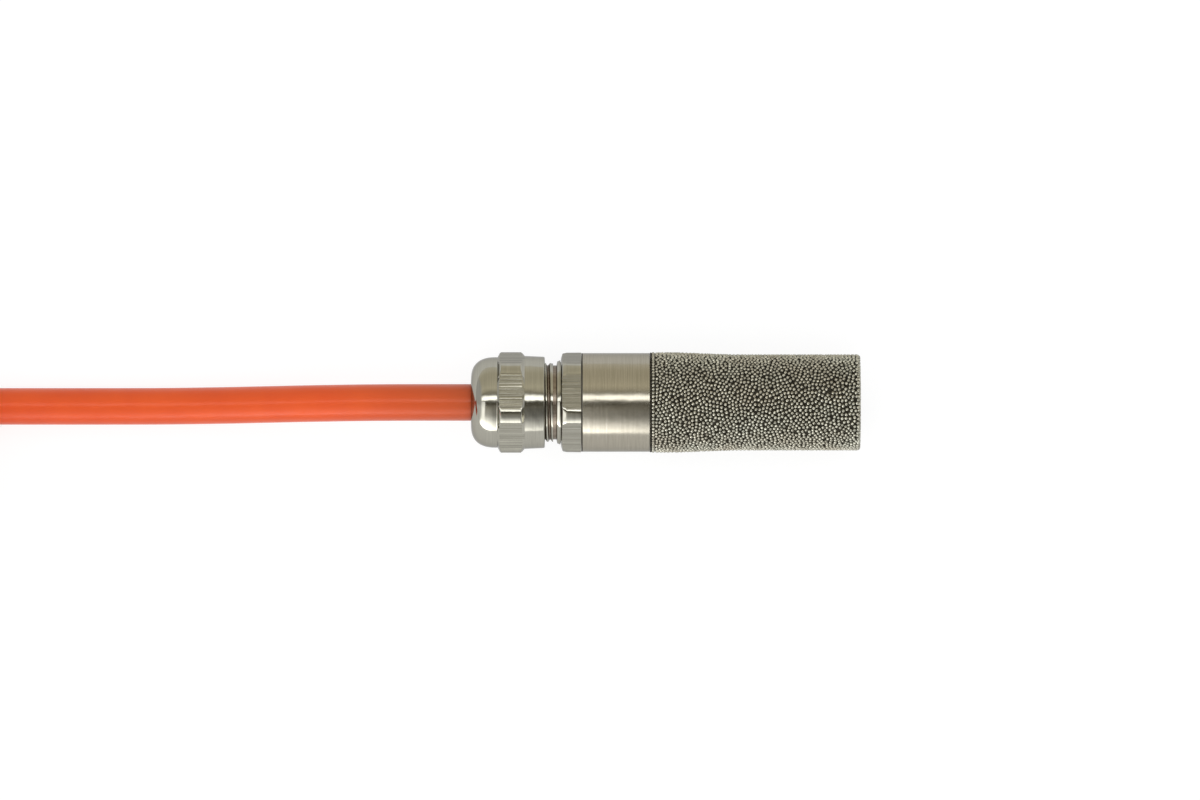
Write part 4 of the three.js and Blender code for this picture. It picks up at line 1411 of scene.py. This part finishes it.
@dataclass(frozen=True)
class BareLeads:
    """The four cores at the cable's cut end, which lie on the hank, and their tinned ends.

    Attributes:
        cable: The cable that they leave.
        radius: Radius of the insulation.
        sideways: Distance of a core from the middle of the sheath, across.
        upward: The same distance, up or down.
        spread: How far apart the cores spread.
        rest: Between a lead and the turn that it lies on.
        lengths: Length of each lead.
        spreading: Shares of the length between which they spread.
        settling: Shares of the length between which they come down onto the turn below.
        strip: Length of the tinned end.
        strand: Radius of one strand.
        strand_lay: Length in which the strands make one turn.
        strip_gap: Between the insulation and the tinned end in the solids.
        steps: Steps along a lead.
        sides: Sides of a lead.
        strand_steps: Steps along a strand.
        strand_sides: Sides of a strand.
    """

    cable: Cable
    radius: float = 0.6
    sideways: float = 0.8
    upward: float = 1.1
    spread: float = 1.45
    rest: float = 0.1
    lengths: tuple[tuple[Wire, float], ...] = (
        (Wire.RED, 34.0),
        (Wire.BLACK, 31.0),
        (Wire.YELLOW, 33.0),
        (Wire.GREEN, 30.0),
    )
    spreading: tuple[float, float] = (0.05, 0.4)
    settling: tuple[float, float] = (0.15, 0.7)
    strip: float = 5.0
    strand: float = 0.115
    strand_lay: float = 4.0
    strip_gap: float = 0.3
    steps: int = 40
    sides: int = 14
    strand_steps: int = 18
    strand_sides: int = 7

    def route(self, wire: Wire, length: float) -> list[Vector]:
        """Lay one lead on the hank.

        Args:
            wire: The lead.
            length: Its length, in millimetres.

        Returns:
            Its centre line, in millimetres.
        """
        cable = self.cable
        _, side, up = wire.value
        last = cable.turns - 1
        fold_length = math.pi * cable.fold
        outward = side * self.spread * (3 / 2 if up > 0 else 1 / 2)
        lying = cable.radius + self.radius + self.rest
        down = math.sqrt(lying**2 - outward**2) - cable.layer
        route = []
        # Share of the fold over which the lead's direction is taken
        stride = 1 / 7
        for step in range(-1, self.steps + 1):
            share = step / self.steps
            fold_share = (cable.gap + length * share) / fold_length
            centre = cable.on_near_fold(last, fold_share)
            ahead = (cable.on_near_fold(last, fold_share + stride) - centre).normalized()
            across = ahead.cross(Vector((0, 0, 1))).normalized()
            above = across.cross(ahead).normalized()
            spread = smoothstep(share, *self.spreading)
            settled = smoothstep(share, *self.settling)
            sideways = side * self.sideways + (outward - side * self.sideways) * spread
            height = up * self.upward + (down - up * self.upward) * settled
            route.append(centre + across * sideways + above * height)
        return route

    def strands(self, name: str, start: Vector, heading: Vector) -> bpy.types.Object:
        """Make a twisted bundle of tinned strands, one in the middle and six round it, drawn in at their tips.

        Args:
            name: Name of the new object.
            start: Where the bare end starts, in millimetres.
            heading: Direction of the lead there.

        Returns:
            The bundle.
        """
        across = heading.cross(Vector((0, 0, 1))).normalized()
        above = across.cross(heading)
        steps, sides = self.strand_steps, self.strand_sides
        points: list[Vector] = []
        faces: list[list[int]] = []
        for number in range(7):
            offset = 0.0 if number == 0 else 2 * self.strand
            first = len(points)
            for step in range(steps + 1):
                along = (self.strip + self.strip_gap) * step / steps - self.strip_gap / 2
                twist = FULL_TURN * (along / self.strand_lay + number / 6)
                draw = 1 - 0.5 * smoothstep(step / steps, 0.9, 1)
                centre = start + heading * along
                centre = centre + (across * math.cos(twist) + above * math.sin(twist)) * offset * draw
                for k in range(sides):
                    angle = FULL_TURN * k / sides
                    rim = (across * math.cos(angle) + above * math.sin(angle)) * self.strand * draw
                    points.append((centre + rim) * MM)
            caps = [ring_cap(first, sides), ring_cap(len(points) - sides, sides)]
            faces += [*caps, *ring_faces(first, steps + 1, sides)]
        return finished(name, points, faces)

    def build(self) -> list[bpy.types.Object]:
        """Make the leads and their ends.

        Returns:
            Each lead, followed by its bare end.
        """
        rounding = [(0.04, self.radius - 0.05), (0.05, self.radius - 0.2)]
        pieces = []
        for wire, length in self.lengths:
            colour = wire.value[0]
            route = self.route(wire, length)
            path = [point * MM for point in route]
            lead = tube(f"insulated_lead_{colour}", path, self.radius, self.sides, rounding)
            place(dress(lead, INSULATION[wire]), Body.GLAND, f"{colour}_insulation", f"lead_{colour}")
            heading = (route[-1] - route[-2]).normalized()
            end = self.strands(f"stripped_end_{colour}", route[-1] + heading * self.strip_gap, heading)
            place(dress(end, SOLDER), Body.GLAND, "solder", f"tinned_end_{colour}")
            pieces += [lead, end]
        return pieces


# Gland


# Distances between turns of the thread under the dome nut and of the one under the sleeve, in millimetres
NUT_PITCH = 0.75
SLEEVE_PITCH = 1.27
# Half of the angle that one side of a hexagon spans
HALF_SIDE = math.pi / 6


@dataclass(frozen=True)
class Thread:
    """A helical thread on a turned stretch.

    Attributes:
        crest: Radius that the turned stretch has before the thread is cut.
        depth: Depth of the thread, below zero where it is cut outwards into a bore.
        pitch: Distance between turns.
        start: Station where it starts.
        end: Station where it ends.
        root: Share of the pitch that the flat at the thread's root takes.
        flanks: Share of the pitch that both flanks take.
    """

    crest: float
    depth: float
    pitch: float
    start: float
    end: float
    root: float = 0.12
    flanks: float = 0.7

    def stations(self) -> Outline:
        """Points close enough together for the thread's flanks."""
        return run(self.start, self.end, self.crest, self.pitch / 12)

    def cut(self, x: float, radius: float, angle: float) -> float:
        """Cut the thread.

        Args:
            x: Station.
            radius: Turned radius.
            angle: Angle round the axis.

        Returns:
            The radius.
        """
        if abs(radius - self.crest) > TOUCH or not self.start <= x <= self.end:
            return radius
        phase = ((x - self.start) / self.pitch - angle / FULL_TURN) % 1
        flank = clamp((abs(2 * phase - 1) - self.root) / self.flanks)
        run_out = clamp(min(x - self.start, self.end - x) / (self.pitch / 2))
        return radius - self.depth * run_out * (1 + math.cos(math.pi * flank)) / 2


def off_flat(angle: float) -> float:
    """Angle from the middle of a hexagon's nearest side, where one side faces up."""
    return (angle - math.pi / 2 + HALF_SIDE) % (2 * HALF_SIDE) - HALF_SIDE


def hexagon(across_flats: float, corner: float, start: float, end: float) -> Shaping:
    """Shaping that mills a hexagon with a flat facing up.

    Args:
        across_flats: Size of the hexagon.
        corner: Rounding of its six corners.
        start: Station where the hexagon starts.
        end: Station where it ends.

    Returns:
        The shaping.
    """
    flat = across_flats / 2
    touch = math.atan((flat - corner) * math.tan(HALF_SIDE) / flat)
    middle = (flat - corner) / math.cos(HALF_SIDE)
    # A radius that is further than this under the flats belongs to a bore
    skin = 1
    # How far the edges between flats and turned corners are worn
    worn = 0.06

    def mill(x: float, radius: float, angle: float) -> float:
        """Mill the flats.

        Args:
            x: Station.
            radius: Turned radius.
            angle: Angle round the axis.

        Returns:
            The radius.
        """
        if not start <= x <= end or radius < flat - skin:
            return radius
        local = abs(off_flat(angle))
        size = flat / math.cos(local)
        if local > touch:
            off = HALF_SIDE - local
            size = middle * math.cos(off) + math.sqrt(corner**2 - (middle * math.sin(off)) ** 2)
        return least(radius, size, worn)

    return mill


def in_turn(*shapings: Shaping) -> Shaping:
    """Join shapings that are applied one after another.

    Args:
        shapings: The shapings.

    Returns:
        The shaping that they make together.
    """

    def shape(x: float, radius: float, angle: float) -> float:
        """Apply all of them.

        Args:
            x: Station.
            radius: Turned radius.
            angle: Angle round the axis.

        Returns:
            The radius.
        """
        for shaping in shapings:
            radius = shaping(x, radius, angle)
        return radius

    return shape


@dataclass(frozen=True)
class Gland:
    """Gland body, dome nut and what they hold.

    Attributes:
        cable: The cable that they hold.
        segments: Facets round the visible pieces.
        nut_flats: Size of the nut's hexagon, between its worn faces.
        nut_hexagon: Where the nut's hexagon starts and ends, from the nut's start.
        nut_bore: Radius of the bore that the nut's thread is cut into.
        dome: Length of the dome.
        mouth: Radius of the dome at the cable.
        dome_rise: How much wider it is at its foot.
        fullness: Power of the dome's curve, which is an ellipse at 1 and fuller below.
        dome_steps: Steps in that curve.
        body_flats: Size of the body's hexagon.
        body_hexagon: Length of the body's hexagon.
        lower: Length of the body past the hexagon.
        neck: Radius of the neck over its thread.
        neck_end: Between the neck's thread and the hexagon.
        lower_crest: Radius of the lower thread.
        roots: Radii between which the neck's thread roots and its undercut lie.
        corner: Rounding of the hexagons' corners.
        ring_radius: Radius of the sealing ring, to the middle of its section.
        lip_radius: Outside radius of the lip that is squeezed out of it.
    """

    cable: Cable
    segments: int = 480
    nut_flats: float = 13.2
    nut_hexagon: tuple[float, float] = (3.72, 7.62)
    nut_bore: float = 5.75
    dome: float = 3.6
    mouth: float = 3.25
    dome_rise: float = 3.17
    fullness: float = 0.8
    dome_steps: int = 36
    body_flats: float = 13.1
    body_hexagon: float = 2.95
    lower: float = 5.976
    neck: float = 5.6
    neck_end: float = 1.05
    lower_crest: float = 6.25
    roots: tuple[float, float] = (5.0, 5.44)
    corner: float = 2.37
    ring_radius: float = 6.1
    lip_radius: float = 6.98

    def finish_flats(self, piece: bpy.types.Object, across_flats: float) -> None:
        """Give a hexagon's flats the drawn finish, which is the piece's second one.

        Args:
            piece: The piece that has the hexagon.
            across_flats: Size of that hexagon.
        """
        apothem = across_flats / 2
        for face in piece.data.polygons:
            centre, normal = face.center / MM, face.normal
            radial = Vector((0, centre.y, centre.z - AXIS))
            if radial.length < apothem - 0.1 or abs(normal.x) > 0.05:
                continue
            local = off_flat(math.atan2(radial.z, radial.y))
            if abs(radial.length * math.cos(local) - apothem) < 0.02:
                face.material_index = 1

    def finish_roots(self, piece: bpy.types.Object, start: float, end: float) -> None:
        """Give the neck's thread roots their own finish, which is the piece's third one.

        Args:
            piece: The gland body.
            start: Station where the thread starts.
            end: Station up to which the finish goes.
        """
        low, high = self.roots
        for face in piece.data.polygons:
            height = Vector((0, face.center.y / MM, face.center.z / MM - AXIS)).length
            if start < face.center.x / MM < end and low < height < high:
                face.material_index = 2

    def dome_nut(self) -> bpy.types.Object:
        """Make the dome nut: dome, hexagon with turned corners, skirt, and the thread inside it.

        Returns:
            The nut.
        """
        start, end = span("dome_nut")
        band, band_end = (start + station for station in self.nut_hexagon)
        thread = Thread(self.nut_bore, -0.33, NUT_PITCH, start + 5.27, end - 0.35)
        dome = []
        for step in range(self.dome_steps + 1):
            turn = math.pi / 2 * step / self.dome_steps
            x = start + self.dome * (1 - math.cos(turn) ** self.fullness)
            dome.append((x, self.mouth + self.dome_rise * math.sin(turn) ** self.fullness))
        # The last corner only gives the first one a neighbour to be rounded against, and is left out again
        outer = rounded(
            (
                (band + 0.05, 6.42, 0.04),
                (band + 0.36, 7.0, 0.25),
                (band + 0.6, 7.32, 0.25),
                (band_end - 0.6, 7.32, 0.25),
                (band_end - 0.34, 7.0, 0.25),
                (band_end, 6.6, 0.06),
                (end, 6.47, 0.3),
                (end, 6.05, 0.04),
                (end - 0.3, self.nut_bore, 0.0),
                (start + 3, self.nut_bore, 0.0),
            ),
            8,
        )[:-1]
        bore = list(reversed(thread.stations()))
        cone = [(thread.start - 0.2, 5.59), (start + 1.57, 4.83), (start + 1.57, 3.3)]
        shape = in_turn(hexagon(self.nut_flats, self.corner, band, band_end), thread.cut)
        nut = turned("dome_nut_plated", [*dome, *outer, *bore, *cone], self.segments, shape)
        dress(nut, TURNED_NICKEL, DRAWN_NICKEL)
        self.finish_flats(nut, self.nut_flats)
        return place(nut, Body.NUT, "nickel_plated_brass", "dome_nut")

    def body(self) -> bpy.types.Object:
        """Make the gland body: threaded neck, collar, hexagon, ring groove and lower thread.

        Returns:
            The body.
        """
        start, end = span("gland_body")
        hex_end = end - self.lower
        hex_start = hex_end - self.body_hexagon
        neck = Thread(self.neck, 0.34, NUT_PITCH, start + 0.3, hex_start - self.neck_end)
        lower = Thread(self.lower_crest, 0.62, SLEEVE_PITCH, hex_end + 1.15, end - 0.1)
        collar = rounded(
            (
                (neck.end, 5.25, 0.0),
                (hex_start - 0.6, 5.25, 0.0),
                (hex_start - 0.46, 5.82, 0.1),
                (hex_start - 0.02, 6.0, 0.05),
                (hex_start, 5.75, 0.0),
                (hex_start + 0.06, 5.75, 0.0),
                (hex_start + 0.08, 6.3, 0.06),
                (hex_start + 0.3, 6.94, 0.25),
                (hex_start + 0.9, 7.12, 0.8),
                (hex_end - 0.02, 7.22, 0.03),
                (hex_end, 5.5, 0.0),
                (lower.start, 5.5, 0.0),
                (lower.start, 5.9, 0.0),
            )
        )
        inner = [
            (end, 5.75),
            (end, 4.4),
            (end - 5.1, 4.4),
            (end - 5.1, 3.1),
            (start + 4.3, 3.1),
            (start + 4.3, 4.85),
        ]
        outline = [(start, 4.85), (start, 5.2), *neck.stations(), *collar, *lower.stations(), *inner]
        shape = in_turn(hexagon(self.body_flats, self.corner, hex_start, hex_end), neck.cut, lower.cut)
        body = turned("gland_body_plated", outline, self.segments, shape)
        dress(body, TURNED_NICKEL, MILLED_NICKEL, THREAD_ROOT)
        self.finish_flats(body, self.body_flats)
        self.finish_roots(body, neck.start, hex_start + 0.05)
        return place(body, Body.GLAND, "nickel_plated_brass", "gland_body")

    def ring(self) -> bpy.types.Object:
        """Make the sealing ring in its groove, with the lip that is squeezed between hexagon and sleeve.

        Returns:
            The ring.
        """
        start, end = span("gland_o_ring")
        middle, bend = (start + end) / 2, (end - start) / 2
        steps = 12
        turns = [math.pi * k / steps for k in range(steps + 1)]
        half = [(middle + bend * math.sin(turn), self.ring_radius - bend * math.cos(turn)) for turn in turns]
        low, high = start - 0.17, start + 0.02
        lip = rounded(
            (
                (low, self.ring_radius, 0.0),
                (low, self.lip_radius, 0.03),
                (high, self.lip_radius, 0.03),
                (high, 6.4, 0.0),
            )
        )
        ring = turned("sealing_ring", [*half, *reversed(lip)], 200)
        return place(dress(ring, GREY_RUBBER), Body.GLAND, "black_rubber", "gland_o_ring")

    def inner_cable(self) -> bpy.types.Object:
        """Make the cable inside the gland, open at its stripped end.

        Returns:
            The cable's stretch in the gland.
        """
        end = span("cable_inner")[1]
        start, radius = self.cable.inlet - 0.1, self.cable.radius
        hole, depth = radius - self.cable.sheath, 3.4
        outline = [
            (start, 0.0),
            (start, radius),
            (end - 0.1, radius),
            (end, radius - 0.1),
            (end, hole),
            (end - depth, hole),
            (end - depth, 0.0),
        ]
        sheath = dress(turned("cable_in_gland", outline, 96), ORANGE_SHEATH)
        return place(sheath, Body.GLAND, "orange_sheath", "cable_inner")

    def build(self) -> None:
        """Make the gland's visible pieces and dress the solids inside it."""
        self.dome_nut()
        self.body()
        self.ring()
        self.inner_cable()
        dress_nodes(WHITE_NYLON, "slip_ring")
        dress_nodes(GREY_NYLON, "clamping_claw")
        dress_nodes(BLACK_RUBBER, "seal_bush")
        dress_nodes(POTTING, "potting_plug")


# Tip


def measured(outline: Outline) -> tuple[list[float], list[float]]:
    """Measure an outline's stretches.

    Args:
        outline: The outline.

    Returns:
        Their lengths, and the distances along the outline at which they start.
    """
    lengths = [math.dist(a, b) for a, b in zip(outline, outline[1:])]
    return lengths, [sum(lengths[:k]) for k in range(len(lengths))]


@dataclass(frozen=True)
class Tip:
    """Sleeve and sintered tip.

    Attributes:
        segments: Facets round the sleeve.
        sleeve_radius: Outside radius of the sleeve.
        gap: Between the solids of sleeve and cup, along the axis and round the spigot.
        thread_crest: Radius of the bore that the sleeve's thread is cut into.
        wall: Wall of the sintered cup.
        floor: Thickness of the cup's closed end.
        tip_radius: Radius of the cup where nothing stretches it.
        root_radius: Radius of the cup over the spigot's root.
        flare: Length in which the cup narrows from one to the other.
        rounding: Rounding of the cup's end.
        spacing: Least distance between the middles of two grains when they are scattered.
        reach: Distance up to which they then push each other apart.
        pushes: Rounds of that pushing.
        push: Share of the distance that they lack which one round gives them.
        stride: Farthest that a grain moves in one round.
        tries: Number of grains that are scattered before they are thinned out.
        grains: Radii of the smallest and the largest grain.
        root_row: Distance of the neat first row of grains from the root.
        root_grains: Number of grains in that row.
        proud: How far the grains' tops stand out of the cup's outline, except at its root, which lies on the floor.
        depth: Depth of the cup's body under that outline.
        missing: Share of the grains that are missing, which leaves larger pores.
        sides: Sides of a grain.
        seed: Start of the random numbers that place the grains.
    """

    segments: int = 320
    sleeve_radius: float = 7.0
    gap: float = 0.2
    thread_crest: float = 6.45
    wall: float = 1.5
    floor: float = 1.8
    tip_radius: float = 6.77
    root_radius: float = 7.13
    flare: float = 13.5
    rounding: float = 0.4
    spacing: float = 0.42
    reach: float = 0.55
    pushes: int = 9
    push: float = 0.35
    stride: float = 0.1
    tries: int = 70000
    grains: tuple[float, float] = (0.21, 0.29)
    root_row: float = 0.27
    root_grains: int = 82
    proud: float = 0.06
    depth: float = 0.27
    missing: float = 0.002
    sides: int = 7
    seed: int = 7

    def radius_at(self, distance: float) -> float:
        """Outside radius of the cup at a distance from its root."""
        share = min(distance / self.flare, 1)
        return self.tip_radius + (self.root_radius - self.tip_radius) * (1 + math.cos(math.pi * share)) / 2

    def sleeve(self) -> bpy.types.Object:
        """Make the sleeve: turned outside, thread inside, spigot in the tip.

        Returns:
            The sleeve.
        """
        start, end = span("filter_sleeve")
        shoulder = span("sintered_filter")[0] - self.gap
        crest = self.thread_crest
        thread = Thread(crest, -0.3, SLEEVE_PITCH, start + 0.95, start + 6.5)
        outer = rounded(
            (
                (start, 6.65, 0.0),
                (start, self.sleeve_radius, 0.05),
                (shoulder, self.sleeve_radius, 0.06),
                (shoulder, self.radius_at(0) - self.wall - self.gap, 0.0),
            )
        )
        steps = 12
        spigot = [
            (shoulder + (end - 0.3 - shoulder) * i / steps, self.radius_at(end * i / steps) - self.wall - self.gap)
            for i in range(1, steps + 1)
        ]
        inner = [
            (end, 5.1),
            (end, 4.9),
            (end - 3.5, 4.9),
            (end - 3.5, 4.4),
            (start + 6.576, 4.4),
            (start + 6.576, crest),
        ]
        inlet = [(start + 0.85, crest), (start + 0.85, 6.65)]
        outline = [*outer, *spigot, *inner, *reversed(thread.stations()), *inlet]
        sleeve = dress(turned("sleeve_brushed", outline, self.segments, thread.cut), BRUSHED_STEEL)
        return place(sleeve, Body.TIP, "turned_steel", "filter_sleeve")

    def cup_outline(self, inset: float) -> Outline:
        """Draw the outside of the cup.

        Args:
            inset: How far it is drawn in.

        Returns:
            The outline from the cup's root to the middle of its end.
        """
        start, end = span("sintered_filter")
        bend, step, turns = self.rounding, 0.7, 6
        count = int((end - bend - start) / step)
        side = [(start + step * k, self.radius_at(step * k) - inset) for k in range(count)]
        corner = []
        for k in range(turns + 1):
            out = Vector((math.sin(math.pi / 2 * k / turns), math.cos(math.pi / 2 * k / turns))) * (bend - inset)
            corner.append((end - bend + out.x, self.tip_radius - bend + out.y))
        return [*side, *corner, (end - inset, 0.0)]

    def core(self) -> bpy.types.Object:
        """Make the body of the cup, under its outer grains, coloured dark as painted shade. It closes the gap up to
        the sleeve.

        Returns:
            The body of the cup.
        """
        start, end = span("sintered_filter")
        outside = self.cup_outline(self.depth)
        ceiling = end - self.floor
        inside = [(x, radius - self.wall + self.depth) for x, radius in outside if x < ceiling - 0.4]
        # The rim stays just inside the sleeve's radius
        rim, back, front = self.root_radius - 0.07, start - 0.17, start + 0.03
        root = [(back, inside[0][1]), (back, rim), (front, rim), (front, outside[0][1])]
        floor = [(ceiling, 0.0), (ceiling, self.tip_radius - self.wall)]
        outline = [*floor, *reversed(inside), *root, *outside[1:]]
        cup = dress(turned("sintered_cup", outline, 180), SINTERED_DEPTH)
        return place(cup, Body.TIP, "sintered_metal", "sintered_filter")

    def scatter(self, stretches: Outline, chance: random.Random) -> list[tuple[float, float]]:
        """Scatter grains at random, none nearer to another than the spacing.

        Args:
            stretches: The cup's outline.
            chance: Source of random numbers.

        Returns:
            The distance along the outline and the angle of each grain.
        """
        cells: dict[tuple[int, ...], list[Vector]] = {}
        found: list[tuple[float, float]] = []
        lengths, starts = measured(stretches)
        widths = [(a[1] + b[1]) * length for a, b, length in zip(stretches, stretches[1:], lengths)]
        around = [(i, j, k) for i in (-1, 0, 1) for j in (-1, 0, 1) for k in (-1, 0, 1)]
        for k in chance.choices(range(len(lengths)), widths, k=self.tries):
            near, far = stretches[k][1], stretches[k + 1][1]
            share = chance.random()
            # On the flat end, they are spread by area
            if abs(near - far) > 1:
                share = 1 - math.sqrt(1 - share)
            spot = (starts[k] + lengths[k] * share, chance.uniform(0, FULL_TURN))
            if spot[0] < self.root_row + 0.9 * self.spacing:
                continue
            point = self.on_cup(stretches, starts, *spot)[0]
            home = tuple(math.floor(value / self.spacing) for value in point)
            near_cells = (cells.get((home[0] + i, home[1] + j, home[2] + m), ()) for i, j, m in around)
            if any((other - point).length < self.spacing for cell in near_cells for other in cell):
                continue
            cells.setdefault(home, []).append(point)
            found.append(spot)
        return found

    def on_cup(
        self, stretches: Outline, starts: Sequence[float], along: float, angle: float
    ) -> tuple[Vector, Vector, Vector]:
        """Point on the cup.

        Args:
            stretches: The cup's outline.
            starts: Distance along the outline at which each of its stretches starts.
            along: Distance along the outline.
            angle: Angle round the axis.

        Returns:
            The point, from the axis, and the directions outwards and along the outline.
        """
        k = min(max(bisect_right(starts, along) - 1, 0), len(starts) - 1)
        here, there = Vector(stretches[k]), Vector(stretches[k + 1])
        ahead = (there - here).normalized()
        at = here + ahead * (along - starts[k])
        spoke = Vector((0, math.cos(angle), math.sin(angle)))
        out = Vector((-ahead.y, 0, 0)) + spoke * ahead.x
        return Vector((at.x, 0, 0)) + spoke * at.y, out, Vector((ahead.x, 0, 0)) + spoke * ahead.y

    def find_all(
        self, stretches: Outline, starts: Sequence[float], spots: Sequence[tuple[float, float]]
    ) -> tuple[list[tuple[Vector, Vector, Vector]], KDTree]:
        """Find all grains.

        Args:
            stretches: The cup's outline.
            starts: Distance along the outline at which each of its stretches starts.
            spots: Distance along the outline and angle of each grain.

        Returns:
            The grains' points with both directions, and a tree that finds the grains near a point.
        """
        points = [self.on_cup(stretches, starts, *spot) for spot in spots]
        tree = KDTree(len(points))
        for number, (point, _, _) in enumerate(points):
            tree.insert(point, number)
        tree.balance()
        return points, tree

    def grain_places(self) -> list[tuple[Vector, Vector, float]]:
        """Settle the grains on the cup, as powder settles in a mould.

        Returns:
            The top, the outward direction and the radius of each grain, in millimetres.
        """
        chance = random.Random(self.seed)
        stretches = self.cup_outline(0.0)
        lengths, starts = measured(stretches)
        row = [(self.root_row, FULL_TURN * k / self.root_grains) for k in range(self.root_grains)]
        spots = [*row, *self.scatter(stretches, chance)]
        # The pushed grains keep off the neat row, and off the axis by at least this radius
        first, last, inmost = self.root_row + 0.4, sum(lengths) - 0.1, 0.3
        for _ in range(self.pushes):
            points, tree = self.find_all(stretches, starts, spots)
            for number in range(len(row), len(spots)):
                point, out, ahead = points[number]
                push = Vector()
                for other, _, distance in tree.find_range(point, self.reach):
                    if distance > TOUCH:
                        push += (point - other) * ((self.reach - distance) / distance * self.push)
                along, angle = spots[number]
                radius = max(math.hypot(point.y, point.z), inmost)
                along += clamp(push.dot(ahead), -self.stride, self.stride)
                angle += clamp(push.dot(ahead.cross(out)), -self.stride, self.stride) / radius
                spots[number] = (clamp(along, first, last), angle)
        points, tree = self.find_all(stretches, starts, spots)
        places = []
        for number, (point, out, _) in enumerate(points):
            # The mean distance to the four nearest others; the fifth that is found is the grain itself
            room = sum(distance for _, _, distance in tree.find_n(point, 5)) / 4
            radius = clamp(room * chance.uniform(0.5, 0.54), *self.grains)
            if number < len(row) or chance.random() > self.missing:
                places.append((point + Vector((0, 0, AXIS)), out, radius))
        return places

    def beads(self) -> bpy.types.Object:
        """Make the outer grains, each a small round solid whose foot is in the cup.

        Returns:
            The grains.
        """
        points: list[Vector] = []
        faces: list[list[int]] = []
        sides = self.sides
        # Any direction that no grain faces exactly
        aside = Vector((0.31, 0.87, 0.38))
        for top, out, radius in self.grain_places():
            across = out.cross(aside).normalized()
            beside = out.cross(across)
            proud = clamp(AXIS - math.hypot(top.y, top.z - AXIS), 0.0, self.proud)
            centre = top + out * (proud - radius)
            first = len(points)
            points.append((centre + out * radius) * MM)
            # Two rings of points, the second turned on by half a side
            for polar in (50, 102):
                rise, reach = math.cos(math.radians(polar)), math.sin(math.radians(polar))
                for k in range(sides):
                    angle = FULL_TURN * (k + polar / 104) / sides
                    rim = across * math.cos(angle) + beside * math.sin(angle)
                    points.append((centre + (out * rise + rim * reach) * radius) * MM)
            foot = len(points)
            points.append((centre - out * radius) * MM)
            for k in range(sides):
                a, b = first + 1 + k, first + 1 + (k + 1) % sides
                faces.append([first, a, b])
                faces.append([a, a + sides, b + sides, b])
                faces.append([a + sides, foot, b + sides])
        grains = dress(finished("sintered_grains", points, faces, 80), SINTERED_BEADS)
        LOG.info("%d faces in the sintered grains", len(faces))
        return place(grains, Body.TIP, "sintered_metal")

    def build(self) -> None:
        """Make the sleeve and the tip, and dress the ring that guides the board."""
        self.sleeve()
        self.core()
        self.beads()
        dress_nodes(WHITE_NYLON, "board_guide_ring")


@dataclass(frozen=True)
class Electronics:
    """Board, sensor, cores and solder, whose solids keep their shapes."""

    def build(self) -> None:
        """Dress the solids."""
        dress_nodes(BOARD, "sensor_board")
        dress_nodes(CHIP, "humidity_sensor", "data_pull_up", "clock_pull_up")
        dress_nodes(CERAMIC, "bypass_capacitor")
        for wire in Wire:
            colour = wire.value[0]
            dress_nodes(INSULATION[wire], f"core_{colour}")
            dress_nodes(SOLDER, f"solder_joint_{colour}")


def main() -> None:
    """Build the studio, the cable and the probe."""
    logging.basicConfig(level=logging.INFO, format="%(name)s: %(message)s")
    Studio().build()
    cable = Cable()
    pieces = HankTie(cable).build() + BareLeads(cable).build()
    cable.build(pieces)
    Gland(cable).build()
    Tip().build()
    Electronics().build()


if __name__ == "__main__":
    main()
